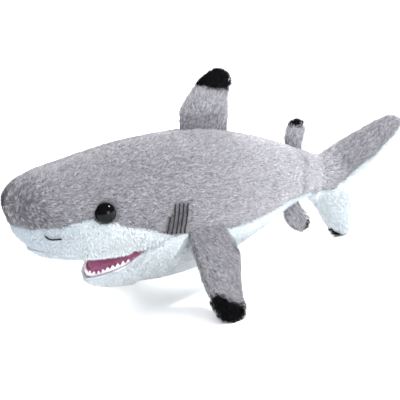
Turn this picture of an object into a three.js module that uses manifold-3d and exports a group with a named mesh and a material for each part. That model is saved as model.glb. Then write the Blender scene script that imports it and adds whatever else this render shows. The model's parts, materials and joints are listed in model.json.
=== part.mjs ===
// Plush toy shark: a grey back and white belly in short pile fabric, stuffed with polyester fibre.
// Millimetres, +Z up. The body is laid out along X with the nose at 0, its left side towards -Y.
// The finished toy is pitched nose up, because it stands on its two pectoral fins and its tail.
import * as THREE from "three";
import { mergeVertices } from "three/addons/utils/BufferGeometryUtils.js";
import Module from "manifold-3d";

const wasm = await Module();
wasm.setup();

// ---- driving dimensions -------------------------------------------------------------------
const SKIN = 2.0; // pile fabric, backing and fur together
const FIN_SKIN = 1.3; // the same fabric, pulled tighter over a fin
const GAP = 0.3; // between pieces that touch
const EYE_DIAMETER = 9;
const EYE_DOME = { collar: 0.3, height: 3.3, chamfer: 0.6 };
const EYE_POST = { radius: 1.6, length: 9 };
const WASHER = { radius: 4.2, front: -4, back: -5.2 };
const STITCH_RISE = 0.9; // thread and the pile pressed down under it, above the fabric
const EYE_PLACE = { x: 34.8, z: 36.5 };
const STANCE_PITCH = 10; // degrees nose up
const STANCE_HEIGHT = -22; // height of the ground plane under the nose, before pitching

// Trunk stations from nose to tail: x, centreline y, half width, top, bottom, height of the widest point.
const TRUNK = [
  { x: 0, y: 0, w: 0, top: 40, bot: 40, mid: 40 },
  { x: 2, y: 0, w: 8, top: 45.2, bot: 33, mid: 39.5 },
  { x: 5, y: 0, w: 12.8, top: 48.2, bot: 28, mid: 38.5 },
  { x: 10, y: 0, w: 16.8, top: 51, bot: 22.6, mid: 37 },
  { x: 17, y: 0, w: 19.8, top: 53.2, bot: 17.6, mid: 35.5 },
  { x: 26, y: 0, w: 22.2, top: 55.3, bot: 12.5, mid: 34.5 },
  { x: 38, y: 0, w: 24, top: 58.4, bot: 6, mid: 34 },
  { x: 54, y: 0, w: 25.5, top: 62.2, bot: 1.6, mid: 34 },
  { x: 73, y: 0, w: 26.5, top: 64.8, bot: 3, mid: 34 },
  { x: 93, y: 0.5, w: 26, top: 66, bot: 6.6, mid: 35 },
  { x: 113, y: 2, w: 22.5, top: 63.2, bot: 13.5, mid: 37 },
  { x: 133, y: 5, w: 17.5, top: 58.2, bot: 23, mid: 39.5 },
  { x: 151, y: 9, w: 12, top: 52.2, bot: 28, mid: 40 },
  { x: 164, y: 11.6, w: 8.6, top: 48.8, bot: 29.8, mid: 39.5 },
];
const TRUNK_ROUNDNESS = 2.25; // superellipse power of a cross-section
const TRUNK_SIDES = 24;
const TRUNK_RINGS = 19;

// The seam between the grey back and the white underside, along the flank: x, z.
const SEAM = [
  [-5, 30], [8, 30], [16, 31.2], [22, 33.2], [30, 34.6], [36, 33.2], [44, 30.4], [52, 28.8],
  [60, 26.6], [67, 24.4], [76, 24.6], [96, 24.6], [108, 26], [120, 28], [135, 31], [170, 31.5],
];

// The mouth: jaw hinge line at the mouth corners, palate and throat cuts through it.
const MOUTH = {
  corner: { x: 55, z: 19.5 },
  palateSlope: 0.075, // the palate drops this much per millimetre towards the nose
  throatLean: 0.2, // how far the throat face leans back per millimetre down
};
const JAW = {
  length: 17.4,
  halfWidth: 21.3,
  plan: 1.5, // superellipse power of the jaw's outline seen from above
  rimAngle: 36, // degrees below level at rest
  skin: 1.8,
  backLean: 0.117, // how far its back face leans back per millimetre down
};
const JAW_UNDERSIDE = [[37.5, 4.6], [39.5, 3], [43, 1.7], [47, 1], [53, 0.6], [62, 0.8]];

const TAIL = {
  hinge: { x: 162, y: 11.3 },
  heading: -18, // degrees, turned back towards the left side
  bevel: 13, // degrees cut off both sides of both hinge faces
};

// ---- solids -------------------------------------------------------------------------------
function toSolid(geometry) {
  const bare = geometry.clone();
  bare.deleteAttribute("normal");
  bare.deleteAttribute("uv");
  const merged = mergeVertices(bare, 1e-4);
  const mesh = new wasm.Mesh({
    numProp: 3,
    vertProperties: Float32Array.from(merged.attributes.position.array),
    triVerts: Uint32Array.from(merged.index.array),
  });
  return new wasm.Manifold(mesh);
}

function toGeometry(solid) {
  const mesh = solid.getMesh();
  const geometry = new THREE.BufferGeometry();
  geometry.setAttribute("position", new THREE.BufferAttribute(new Float32Array(mesh.vertProperties), 3));
  geometry.setIndex(new THREE.BufferAttribute(new Uint32Array(mesh.triVerts), 1));
  geometry.computeVertexNormals();
  return geometry;
}

// Skins a stack of equal rings of points. The first ring may be a single point; ends are capped.
function loft(rings) {
  const positions = [];
  const faces = [];
  const starts = rings.map((ring) => {
    const start = positions.length / 3;
    ring.forEach((p) => positions.push(p.x, p.y, p.z));
    return start;
  });
  const sides = Math.max(...rings.map((ring) => ring.length));
  for (let k = 0; k + 1 < rings.length; k += 1) {
    const [a, b] = [starts[k], starts[k + 1]];
    for (let i = 0; i < sides; i += 1) {
      const j = (i + 1) % sides;
      if (rings[k].length === 1) faces.push(a, b + j, b + i);
      else if (rings[k + 1].length === 1) faces.push(a + i, a + j, b);
      else faces.push(a + i, a + j, b + j, a + i, b + j, b + i);
    }
  }
  for (const [ring, start, last] of [[rings[0], starts[0], false], [rings.at(-1), starts.at(-1), true]]) {
    for (let i = 1; ring.length > 1 && i + 1 < sides; i += 1) {
      faces.push(...(last ? [start, start + i, start + i + 1] : [start, start + i + 1, start + i]));
    }
  }
  const geometry = new THREE.BufferGeometry();
  geometry.setAttribute("position", new THREE.Float32BufferAttribute(positions, 3));
  geometry.setIndex(signedVolume(positions, faces) > 0 ? faces : faces.reverse());
  return toSolid(geometry);
}

function signedVolume(positions, faces) {
  const corner = (i) => new THREE.Vector3().fromArray(positions, 3 * i);
  let total = 0;
  for (let f = 0; f < faces.length; f += 3) {
    total += corner(faces[f]).dot(corner(faces[f + 1]).cross(corner(faces[f + 2])));
  }
  return total;
}

// A prism over an outline. "xz" outlines run through the toy sideways, "xy" outlines from below.
function prism(outline, plane, from, to) {
  const shape = new THREE.Shape(outline.map(([a, b]) => new THREE.Vector2(a, b)));
  const geometry = new THREE.ExtrudeGeometry(shape, { depth: to - from, bevelEnabled: false });
  geometry.translate(0, 0, from);
  if (plane === "xz") geometry.rotateX(Math.PI / 2);
  return toSolid(geometry);
}

const sideways = (outline) => prism(outline, "xz", -120, 120);
const upright = (outline) => prism(outline, "xy", -80, 160);

// Smooth reading between stations. Warped by the square root along the trunk, a blunt end stays round.
function reader(stations, along, warp = (v) => v) {
  const at = stations.map((s) => warp(s[along]));
  return (name, value) => {
    const t = THREE.MathUtils.clamp(warp(value), at[0], at.at(-1));
    let k = 0;
    while (k + 2 < at.length && t > at[k + 1]) k += 1;
    const slope = (i) => {
      const [lo, hi] = [Math.max(i - 1, 0), Math.min(i + 1, at.length - 1)];
      return (stations[hi][name] - stations[lo][name]) / (at[hi] - at[lo]);
    };
    const span = at[k + 1] - at[k];
    const u = (t - at[k]) / span;
    const [p, q] = [stations[k][name], stations[k + 1][name]];
    const [m, n] = [slope(k) * span, slope(k + 1) * span];
    return p + u * m + u * u * (3 * (q - p) - 2 * m - n) + u * u * u * (2 * (p - q) + m + n);
  };
}

// ---- trunk --------------------------------------------------------------------------------
const trunk = reader(TRUNK, "x", Math.sqrt);
const centre = (x) => trunk("y", Math.max(x, 0));

function power(value, exponent) {
  return Math.sign(value) * Math.abs(value) ** exponent;
}

function trunkRing(x, inset) {
  const source = Math.max(x - inset, 0);
  const thinning = inset * Math.min(1, source / 8);
  const w = Math.max(trunk("w", source) - thinning, 0);
  const mid = trunk("mid", source);
  const top = Math.max(trunk("top", source) - thinning, mid);
  const bot = Math.min(trunk("bot", source) + thinning, mid);
  const slope = (centre(x + 1) - centre(x - 1)) / 2;
  const lean = Math.hypot(1, slope);
  return Array.from({ length: TRUNK_SIDES }, (_, i) => {
    const angle = (2 * Math.PI * i) / TRUNK_SIDES;
    const side = w * power(Math.sin(angle), 2 / TRUNK_ROUNDNESS);
    const up = power(Math.cos(angle), 2 / TRUNK_ROUNDNESS);
    const z = mid + up * (up > 0 ? top - mid : mid - bot);
    return new THREE.Vector3(x - (side * slope) / lean, centre(x) + side / lean, z);
  });
}

function trunkSolid(inset) {
  const end = TRUNK.at(-1).x;
  const rings = [[new THREE.Vector3(inset, 0, TRUNK[0].mid)]];
  for (let k = 1; k <= TRUNK_RINGS; k += 1) {
    const u = k / TRUNK_RINGS;
    rings.push(trunkRing(inset + (end - inset) * (0.25 * u * u + 0.75 * u ** 1.6), inset));
  }
  return loft(rings);
}

// A point on the left or right flank of the straight front of the body, with its outward normal.
function flank(x, z, side) {
  const halfWidth = (px, pz) => {
    const [w, mid, top, bot] = ["w", "mid", "top", "bot"].map((name) => trunk(name, px));
    const reach = pz > mid ? (pz - mid) / (top - mid) : (mid - pz) / (mid - bot);
    return w * (1 - Math.min(reach, 1) ** TRUNK_ROUNDNESS) ** (1 / TRUNK_ROUNDNESS);
  };
  const y = halfWidth(x, z);
  const slopeX = (halfWidth(x + 0.2, z) - halfWidth(x - 0.2, z)) / 0.4;
  const slopeZ = (halfWidth(x, z + 0.2) - halfWidth(x, z - 0.2)) / 0.4;
  return {
    point: new THREE.Vector3(x, side * y, z),
    normal: new THREE.Vector3(-slopeX, side, -slopeZ).normalize(),
  };
}

const { corner } = MOUTH;
const palateHeight = (x) => corner.z - MOUTH.palateSlope * (corner.x - x);
const throatFoot = [corner.x + MOUTH.throatLean * 40, corner.z - 40];

// Everything below the palate and in front of the throat; lift raises the palate.
function mouthSpace(lift) {
  return sideways([
    [corner.x, corner.z + lift], [-20, palateHeight(-20) + lift], [-20, -40], throatFoot,
  ]);
}

// The flank above or below the seam.
function seamSide(above) {
  const shift = above ? GAP / 2 : -GAP / 2;
  const far = above ? 120 : -60;
  return sideways([...SEAM.map(([x, z]) => [x, z + shift]), [SEAM.at(-1)[0], far], [SEAM[0][0], far]]);
}

// The half of space to the left (-1) or right (+1) of the curved centreline.
function bodyHalf(side) {
  const line = [];
  for (let x = -10; x <= 180; x += 10) line.push([x, centre(Math.min(x, 164)) + (side * GAP) / 2]);
  return upright([...line, [180, side * 120], [-10, side * 120]]);
}

// The bevelled face of the tail hinge: everything in front of it, or behind it.
function hingeSide(front) {
  const { x, y } = TAIL.hinge;
  const way = front ? -1 : 1;
  const recess = 40 * Math.tan(THREE.MathUtils.degToRad(TAIL.bevel));
  const face = [
    [x + way * (GAP + recess), y - 40], [x + way * GAP, y], [x + way * (GAP + recess), y + 40],
  ];
  return upright([...face, [x + way * 250, y + 40], [x + way * 250, y - 40]]);
}

const aheadOfTail = hingeSide(true);
const trunkShell = trunkSolid(0).subtract(trunkSolid(SKIN)).intersect(aheadOfTail)
  .subtract(mouthSpace(0));
const backShell = trunkShell.intersect(seamSide(true));
const whiteShell = trunkShell.intersect(seamSide(false));

// The seam that runs up from the mouth corner and parts the muzzle from the belly.
const CHEEK_TOP = [67, 24.6];
function cheekSide(front) {
  const shift = front ? -GAP / 2 : GAP / 2;
  const far = front ? -60 : 260;
  const line = [[corner.x - 30, -40], [corner.x, corner.z], CHEEK_TOP, [CHEEK_TOP[0] + 8, 60]];
  return sideways([...line.map(([x, z]) => [x + shift, z]), [far, 60], [far, -40]]);
}

// ---- eyes ---------------------------------------------------------------------------------
function eyeFrame(side) {
  const { point, normal } = flank(EYE_PLACE.x, EYE_PLACE.z, side);
  const turn = new THREE.Quaternion().setFromUnitVectors(new THREE.Vector3(0, 1, 0), normal);
  return new THREE.Matrix4().compose(point, turn, new THREE.Vector3(1, 1, 1));
}

function turned(profile, frame, sides) {
  const geometry = new THREE.LatheGeometry(profile.map(([r, h]) => new THREE.Vector2(r, h)), sides);
  return toSolid(geometry.applyMatrix4(frame));
}

// A safety eye: a polished dome on a post that goes through the fabric.
function eyeSolid(side, grow) {
  const rim = EYE_DIAMETER / 2 + grow;
  const dome = [90, 70, 50, 30, 10].map((degrees) => {
    const angle = THREE.MathUtils.degToRad(degrees);
    return [rim * Math.cos(angle), EYE_DOME.collar + (EYE_DOME.height + grow) * Math.sin(angle)];
  });
  dome[0][0] = 0;
  const post = EYE_POST.radius + grow;
  const profile = [[0, -EYE_POST.length - grow], [post, -EYE_POST.length - grow], [post, -SKIN],
    [rim - EYE_DOME.chamfer, -1.4 - grow], [rim, -0.2], ...dome.reverse()];
  return turned(profile, eyeFrame(side), 16);
}

// The lock washer pressed on the post behind the fabric.
function washerSolid(side, grow) {
  const [inner, outer] = [EYE_POST.radius + GAP - grow, WASHER.radius + grow];
  const [low, high] = [WASHER.back - grow, WASHER.front + grow];
  const profile = [[inner, low], [outer, low], [outer, high], [inner, high], [inner, low]];
  return turned(profile, eyeFrame(side), 12);
}

// ---- ribbons for stitching and teeth ------------------------------------------------------
// A flat strip along a path: each step gives its place, its width direction and its height direction.
function ribbon(steps) {
  return loft(steps.map(({ at, across, up, half, low, high }) => [
    [-half, low], [half, low], [half, high], [-half, high],
  ].map(([a, b]) => at.clone().addScaledVector(across, a).addScaledVector(up, b))));
}

// A stitched line over the flank from one point to another.
function stitchedLine(side, [x0, z0], [x1, z1], half, steps = 3) {
  const run = [];
  for (let k = 0; k <= steps; k += 1) {
    const u = k / steps;
    const { point, normal } = flank(x0 + (x1 - x0) * u, z0 + (z1 - z0) * u, side);
    const along = new THREE.Vector3(x1 - x0, 0, z1 - z0).normalize();
    const across = new THREE.Vector3().crossVectors(along, normal).normalize();
    run.push({ at: point, across, up: normal, half, low: GAP, high: STITCH_RISE });
  }
  return ribbon(run);
}

// Five gill slits, the first one short, joined by the thread that runs from one to the next.
const GILLS = { first: 63.4, pitch: 2, count: 5, low: 26.2, high: 37.6, shortBy: 5, lean: 0.12,
  halfWidth: 0.45, joinHeight: 29.5 };
function gillStitches(side) {
  const last = GILLS.first + GILLS.pitch * (GILLS.count - 1);
  const { joinHeight, halfWidth } = GILLS;
  let piece = stitchedLine(side, [GILLS.first, joinHeight], [last, joinHeight], 0.2, 4);
  for (let k = 0; k < GILLS.count; k += 1) {
    const x = GILLS.first + GILLS.pitch * k;
    const high = k === 0 ? GILLS.high - GILLS.shortBy : GILLS.high;
    const lean = GILLS.lean * (high - GILLS.low);
    piece = piece.add(stitchedLine(side, [x - lean / 2, GILLS.low], [x + lean / 2, high], halfWidth));
  }
  return piece;
}

const NOSTRIL = [[13, 28.4], [15.2, 27.2], [17.8, 27.4]];
function nostrilStitch(side) {
  const [a, b, c] = NOSTRIL;
  return stitchedLine(side, a, b, 0.4, 2).add(stitchedLine(side, b, c, 0.4, 2));
}

// ---- jaw ----------------------------------------------------------------------------------
const rimSlope = Math.tan(THREE.MathUtils.degToRad(JAW.rimAngle));
const rimHeight = (x) => corner.z - 0.9 - rimSlope * (corner.x - x);
const jawUnderside = reader(JAW_UNDERSIDE.map(([x, z]) => ({ x, z })), "x");

function jawHalfWidth(x, inset) {
  const reach = Math.min(Math.max((corner.x - x) / (JAW.length - inset), 0), 1);
  return (JAW.halfWidth - inset) * (1 - reach ** JAW.plan) ** (1 / JAW.plan);
}

function jawRing(x, inset, sides = 12) {
  const half = Math.max(jawHalfWidth(x, inset), 0.02);
  const rim = rimHeight(x) + 6;
  const low = Math.min(jawUnderside("z", x) + inset, rimHeight(x) - 0.02);
  const ring = [];
  for (let k = 0; k <= sides; k += 1) {
    const angle = (Math.PI * k) / sides;
    ring.push(new THREE.Vector3(
      x,
      -half * power(Math.cos(angle), 0.9),
      rimHeight(x) - (rimHeight(x) - low) * power(Math.sin(angle), 0.9),
    ));
  }
  ring.push(new THREE.Vector3(x, half, rim), new THREE.Vector3(x, -half, rim));
  return ring;
}

function jawSolid(inset, steps = 9) {
  const front = corner.x - JAW.length + inset;
  const rings = [];
  for (let k = 0; k <= steps; k += 1) {
    const u = k / steps;
    rings.push(jawRing(front + 0.05 + (corner.x + 3 - front) * u * u * (1.6 - 0.6 * u), inset));
  }
  return loft(rings);
}

// What the jaw keeps: below its rim plane, lowered by drop, and in front of the throat gap.
function jawSpace(drop) {
  const back = corner.x - 1.4;
  return sideways([
    [back, rimHeight(back) - drop], [-20, rimHeight(-20) - drop], [-20, -60],
    [back + JAW.backLean * (rimHeight(back) + 60), -60],
  ]);
}

const jawOuter = jawSolid(0);
const jawLining = jawSolid(JAW.skin);
const MOUTH_FABRIC = 1.1;

// The U-shaped rim of the jaw, or of the upper lip, from the left corner round to the right one.
function rimPath(length, halfWidth, height, from, to, steps) {
  return Array.from({ length: steps + 1 }, (_, k) => {
    const angle = THREE.MathUtils.degToRad(from + ((to - from) * k) / steps);
    const x = corner.x - length * Math.cos(angle) ** (2 / JAW.plan);
    return new THREE.Vector3(x, halfWidth * power(Math.sin(angle), 2 / JAW.plan), height(x));
  });
}

// A strip of felt cut in points: every second step is a tooth.
function teeth(path, up, long, short) {
  return ribbon(path.map((at, k) => {
    const along = path[Math.min(k + 1, path.length - 1)].clone().sub(path[Math.max(k - 1, 0)]);
    const across = new THREE.Vector3().crossVectors(along, up).normalize();
    const nearCorner = Math.min(1, (Math.min(k, path.length - 1 - k) + 2) / 9);
    return { at, across, up, half: 0.35, low: -0.9, high: (k % 2 ? long : short) * nearCorner };
  }));
}

const rimUp = new THREE.Vector3(-Math.sin(THREE.MathUtils.degToRad(JAW.rimAngle)), 0,
  Math.cos(THREE.MathUtils.degToRad(JAW.rimAngle)));

// ---- fins ---------------------------------------------------------------------------------
// A fin is a stack of oval sections from its root (v = 0) to its tip: leading and trailing edge
// along u, and half thickness. frame places (u, thickness, v) on the body.
const FINS = {
  dorsal: [
    { v: -4, lead: 84.6, trail: 110.6, half: 1.4 }, { v: 0, lead: 84.6, trail: 110.6, half: 1.5 },
    { v: 3.5, lead: 84.5, trail: 110.5, half: 3.6 },
    { v: 8, lead: 86.2, trail: 110, half: 4.3 }, { v: 12, lead: 88.8, trail: 110, half: 4 },
    { v: 16, lead: 92, trail: 110.9, half: 3.6 }, { v: 18.8, lead: 96, trail: 111.2, half: 3 },
    { v: 21.6, lead: 99.6, trail: 110, half: 2.3 }, { v: 23.5, lead: 105, trail: 105, half: 0 },
  ],
  second_dorsal: [
    { v: -6, lead: -6.2, trail: 6.2, half: 1.2 }, { v: 0, lead: -6.3, trail: 6, half: 1.4 },
    { v: 2.5, lead: -6.4, trail: 6.3, half: 2.6 }, { v: 5.5, lead: -5.8, trail: 6.9, half: 2.8 },
    { v: 8.3, lead: -4.2, trail: 6.7, half: 2.4 }, { v: 10, lead: -2, trail: 5, half: 1.6 },
    { v: 10.8, lead: 1.4, trail: 1.4, half: 0 },
  ],
  pectoral: [
    { v: -4, lead: -9.9, trail: 10.2, half: 1.4 }, { v: 0, lead: -9.8, trail: 10.3, half: 1.5 },
    { v: 4, lead: -9.6, trail: 10.8, half: 3.6 },
    { v: 9, lead: -9.6, trail: 11.8, half: 4.3 }, { v: 14, lead: -10, trail: 11.8, half: 4.4 },
    { v: 21, lead: -10.5, trail: 8, half: 4.1 }, { v: 29, lead: -10.5, trail: 5.8, half: 3.7 },
    { v: 36, lead: -10, trail: 4, half: 3.1 }, { v: 40.5, lead: -8.4, trail: 2, half: 2.4 },
    { v: 43.4, lead: -3.6, trail: -3.6, half: 0 },
  ],
  pelvic: [
    { v: -6, lead: -7.4, trail: 6, half: 1.2 }, { v: 0, lead: -6.6, trail: 7, half: 1.3 },
    { v: 3, lead: -5.6, trail: 8.6, half: 2.6 },
    { v: 6.5, lead: -3.8, trail: 9.6, half: 2.9 }, { v: 9.5, lead: -1.4, trail: 9.4, half: 2.4 },
    { v: 12.2, lead: 4.6, trail: 4.6, half: 0 },
  ],
  tail_upper: [
    { v: -3, lead: -11.6, trail: 6, half: 6.2 }, { v: 4, lead: -12.8, trail: 5.9, half: 6 },
    { v: 13, lead: -14, trail: 5.7, half: 5 }, { v: 22, lead: -12.6, trail: 5.7, half: 4.3 },
    { v: 30, lead: -11.6, trail: 5.2, half: 4 }, { v: 38, lead: -9.6, trail: 5, half: 3.6 },
    { v: 45, lead: -7, trail: 4.2, half: 3 }, { v: 49, lead: -4.8, trail: 2.6, half: 2 },
    { v: 51, lead: -1, trail: -1, half: 0 },
  ],
  tail_lower: [
    { v: -3, lead: 2.6, trail: 17, half: 5.4 }, { v: 5, lead: 2, trail: 20.4, half: 4.8 },
    { v: 11, lead: 5.6, trail: 20.8, half: 4 }, { v: 17.5, lead: 9.6, trail: 20.2, half: 3.2 },
    { v: 21, lead: 12.8, trail: 18, half: 2.2 }, { v: 22.4, lead: 15.4, trail: 15.4, half: 0 },
  ],
};
const FIN_SIDES = 12;
const FIN_RINGS = 8;

function finSolid(name, inset, rings = FIN_RINGS) {
  const stations = FINS[name];
  const read = reader(stations, "v");
  const [first, tip] = [stations[0].v, stations.at(-1).v];
  const widest = Math.max(...stations.map((s) => s.trail - s.lead)) / 2;
  const thickest = Math.max(...stations.map((s) => s.half));
  const shrink = (tip - first - inset) / (tip - first);
  const stack = [];
  for (let k = 0; k < rings; k += 1) {
    const u = k / rings;
    const v = first + (tip - first) * (1 - (1 - u) ** 1.45);
    const middle = (read("lead", v) + read("trail", v)) / 2;
    const chord = ((read("trail", v) - read("lead", v)) / 2) * (1 - inset / widest);
    const half = read("half", v) * (1 - inset / thickest);
    stack.push(Array.from({ length: FIN_SIDES }, (_, i) => {
      const angle = (2 * Math.PI * (i + 0.5)) / FIN_SIDES;
      const height = first + (v - first) * shrink;
      return new THREE.Vector3(middle + chord * Math.cos(angle), half * Math.sin(angle), height);
    }));
  }
  stack.push([new THREE.Vector3(stations.at(-1).lead, 0, tip - inset)]);
  return loft(stack);
}

const degrees = THREE.MathUtils.degToRad;
const place = (x, y, z) => new THREE.Matrix4().makeTranslation(x, y, z);
const spin = (axis, angle) => new THREE.Matrix4().makeRotationAxis(axis, degrees(angle));
const X_AXIS = new THREE.Vector3(1, 0, 0);
const Z_AXIS = new THREE.Vector3(0, 0, 1);

// A fin hangs from its root line: tilt turns it about that line away from straight up.
function finFrame(x, y, z, heading, tilt) {
  return place(x, y, z).multiply(spin(Z_AXIS, heading)).multiply(spin(X_AXIS, tilt));
}

const ROOT_CLEARANCE = 1.3; // room under a fin for it to fold over without touching the body
const aroundTrunk = trunkSolid(-ROOT_CLEARANCE);

// The slab under the ground plane, raised by lift: what stands on it is pressed flat.
const groundHeight = (x) => STANCE_HEIGHT + Math.tan(degrees(STANCE_PITCH)) * x;
const ground = (lift) => sideways([
  [-50, groundHeight(-50) + lift], [-50, -150], [300, -150], [300, groundHeight(300) + lift],
]);

// Skin, contrasting tip and stuffing of one fin. The tip is what lies inside tipOutline, in (u, v),
// and toTip is the direction that leads onto it.
function finPieces(name, frame, tipOutline, toTip) {
  const carry = (solid, lift) => solid.transform(frame.elements).subtract(aroundTrunk)
    .subtract(ground(lift));
  const shell = finSolid(name, 0).subtract(finSolid(name, FIN_SKIN));
  const tipRegion = (shift) => sideways(tipOutline.map(([u, v]) => [
    u + (toTip[0] * shift) / 2, v + (toTip[1] * shift) / 2,
  ]));
  return {
    skin: carry(shell.subtract(tipRegion(-GAP)), 0),
    tip: carry(shell.intersect(tipRegion(GAP)), 0),
    stuffing: carry(finSolid(name, FIN_SKIN + GAP), FIN_SKIN + GAP),
  };
}

const PECTORAL_ROOT = { x: 82.5, y: 26.8, z: 24, tilt: 139.7 };
const PELVIC_ROOT = { x: 141.6, y: 9.4, z: 27.4, heading: 11 };
const PELVIC_TILT = { left: 160, right: 122 }; // the right one is folded further out
const DORSAL_ROOT = { x: 0, y: 0.9, z: 67 };
const SECOND_DORSAL_ROOT = { x: 152, y: 9.2, z: 53.6, heading: 11 };
const pelvicCentre = centre(PELVIC_ROOT.x);

const finParts = {
  dorsal: finPieces("dorsal", finFrame(DORSAL_ROOT.x, DORSAL_ROOT.y, DORSAL_ROOT.z, 0, 0),
    [[80, 16], [91, 17.4], [97, 16], [105, 14.8], [112, 14.6], [120, 14], [120, 40], [80, 40]], [0, 1]),
  second_dorsal: finPieces("second_dorsal", finFrame(SECOND_DORSAL_ROOT.x, SECOND_DORSAL_ROOT.y,
    SECOND_DORSAL_ROOT.z, SECOND_DORSAL_ROOT.heading, 0),
    [[-15, 6.4], [-5, 7.6], [1, 7.8], [15, 7], [15, 30], [-15, 30]], [0, 1]),
};
for (const [hand, side] of [["left", -1], ["right", 1]]) {
  const pectoral = finFrame(PECTORAL_ROOT.x, side * PECTORAL_ROOT.y, PECTORAL_ROOT.z, 0,
    -side * PECTORAL_ROOT.tilt);
  finParts[`pectoral_${hand}`] = finPieces("pectoral", pectoral,
    [[-20, 28.6], [-8, 29.6], [-4, 34], [1, 36.6], [5, 33.6], [20, 32], [20, 60], [-20, 60]], [0, 1]);
  const pelvic = finFrame(PELVIC_ROOT.x, pelvicCentre + side * PELVIC_ROOT.y, PELVIC_ROOT.z,
    PELVIC_ROOT.heading, -side * PELVIC_TILT[hand]);
  finParts[`pelvic_${hand}`] = finPieces("pelvic", pelvic,
    [[7, -10], [7.4, 3], [6.4, 8], [6, 20], [30, 20], [30, -10]], [1, 0]);
}

// ---- tail ---------------------------------------------------------------------------------
// Laid out flat first: d runs back from the hinge, the height is the height on the toy.
const STEM = [
  { d: -4, w: 8.9, top: 49.6, bot: 29.4 }, { d: 3, w: 7.8, top: 48.2, bot: 29.6 },
  { d: 10, w: 5.9, top: 48.2, bot: 29.8 }, { d: 18, w: 4, top: 46, bot: 35 },
];
const UPPER_LOBE = { height: 38.8, rise: 30 }; // its centreline leaves the hinge here, at this angle
const LOWER_LOBE_TOP = 31;
const TAIL_SEAM = [
  [-20, 33], [2, 32.4], [11, 31.8], [16.5, 34], [20.5, 37.4], [26, 41.6], [34.5, 47.8],
  [41.8, 55.4], [50, 66],
];

function stemSolid(inset) {
  const read = reader(STEM, "d");
  const [first, last] = [STEM[0].d, STEM.at(-1).d];
  const rings = [];
  for (let k = 0; k <= 6; k += 1) {
    const d = first + ((last - inset - first) * k) / 6;
    const half = (read("top", d) - read("bot", d)) / 2 - inset;
    const mid = (read("top", d) + read("bot", d)) / 2;
    rings.push(Array.from({ length: 16 }, (_, i) => {
      const angle = (2 * Math.PI * i) / 16;
      return new THREE.Vector3(d, (read("w", d) - inset) * Math.sin(angle), mid + half * Math.cos(angle));
    }));
  }
  return loft(rings);
}

const rise = degrees(UPPER_LOBE.rise);
const upperFrame = place(0, 0, UPPER_LOBE.height).multiply(new THREE.Matrix4().makeBasis(
  new THREE.Vector3(-Math.sin(rise), 0, Math.cos(rise)), new THREE.Vector3(0, -1, 0),
  new THREE.Vector3(Math.cos(rise), 0, Math.sin(rise)),
));
const lowerFrame = place(0, 0, LOWER_LOBE_TOP).multiply(spin(X_AXIS, 180));
const tailFrame = place(TAIL.hinge.x, TAIL.hinge.y, 0).multiply(spin(Z_AXIS, TAIL.heading));

function tailSolid(inset) {
  return stemSolid(inset)
    .add(finSolid("tail_upper", inset, 10).transform(upperFrame.elements))
    .add(finSolid("tail_lower", inset).transform(lowerFrame.elements));
}

const behindHinge = hingeSide(false);
const tailShell = tailSolid(0).subtract(tailSolid(FIN_SKIN));
const tailSide = (above) => sideways([
  ...TAIL_SEAM.map(([d, z]) => [d, z + (above ? GAP / 2 : -GAP / 2)]),
  [50, above ? 120 : -60], [-20, above ? 120 : -60],
]);
const tailHalf = (side) => upright([
  [-60, (side * GAP) / 2], [120, (side * GAP) / 2], [120, side * 60], [-60, side * 60],
]);
const lobeTip = (shift) => sideways([
  [0, 13.6 - shift], [10.4, 13.6 - shift], [13, 11.6 - shift], [15.2, 11.2 - shift], [17.4, 8 - shift],
  [17.4, -10], [0, -10],
]);
const setTail = (solid, lift) => solid.transform(tailFrame.elements).intersect(behindHinge)
  .subtract(ground(lift));
const greyTail = tailShell.intersect(tailSide(true));
const whiteTail = tailShell.intersect(tailSide(false));

// ---- assembly -----------------------------------------------------------------------------
const FINISH = {
  grey_pile: { color: 0x9c9ca3, roughness: 0.95 },
  white_pile: { color: 0xe6edf2, roughness: 0.95 },
  black_pile: { color: 0x161619, roughness: 0.95 },
  pink_lining: { color: 0xb0708f, roughness: 0.85 },
  white_felt: { color: 0xf4f4f4, roughness: 0.9 },
  black_thread: { color: 0x14141a, roughness: 0.6 },
  eye_black: { color: 0x050505, roughness: 0.08 },
  washer_plastic: { color: 0xe8e8e4, roughness: 0.5 },
  fibre_fill: { color: 0xf0f0ec, roughness: 1 },
};
const materials = Object.fromEntries(Object.entries(FINISH).map(([name, look]) => [
  name, new THREE.MeshStandardMaterial({ name, metalness: 0, ...look }),
]));
const toy = new THREE.Group();

function add(name, finish, solid) {
  const mesh = new THREE.Mesh(toGeometry(solid), materials[finish]);
  mesh.name = name;
  toy.add(mesh);
}

const eyeRoom = eyeSolid(-1, GAP).add(eyeSolid(1, GAP));
const washerRoom = washerSolid(-1, GAP).add(washerSolid(1, GAP));
const palateSlab = sideways([
  [corner.x - 2, palateHeight(corner.x - 2)], [-20, palateHeight(-20)],
  [-20, palateHeight(-20) + MOUTH_FABRIC], [corner.x - 2, palateHeight(corner.x - 2) + MOUTH_FABRIC],
]);
const floorSlab = jawSpace(0).subtract(jawSpace(MOUTH_FABRIC));
const BESIDE_TEETH = 1.3; // the felt strip stands in this slot between skin and lining
const LIP_SLACK = 0.65; // the muzzle curls in at the lip, so the strip sits this much deeper
const lipInset = SKIN + BESIDE_TEETH / 2 + LIP_SLACK;

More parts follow.
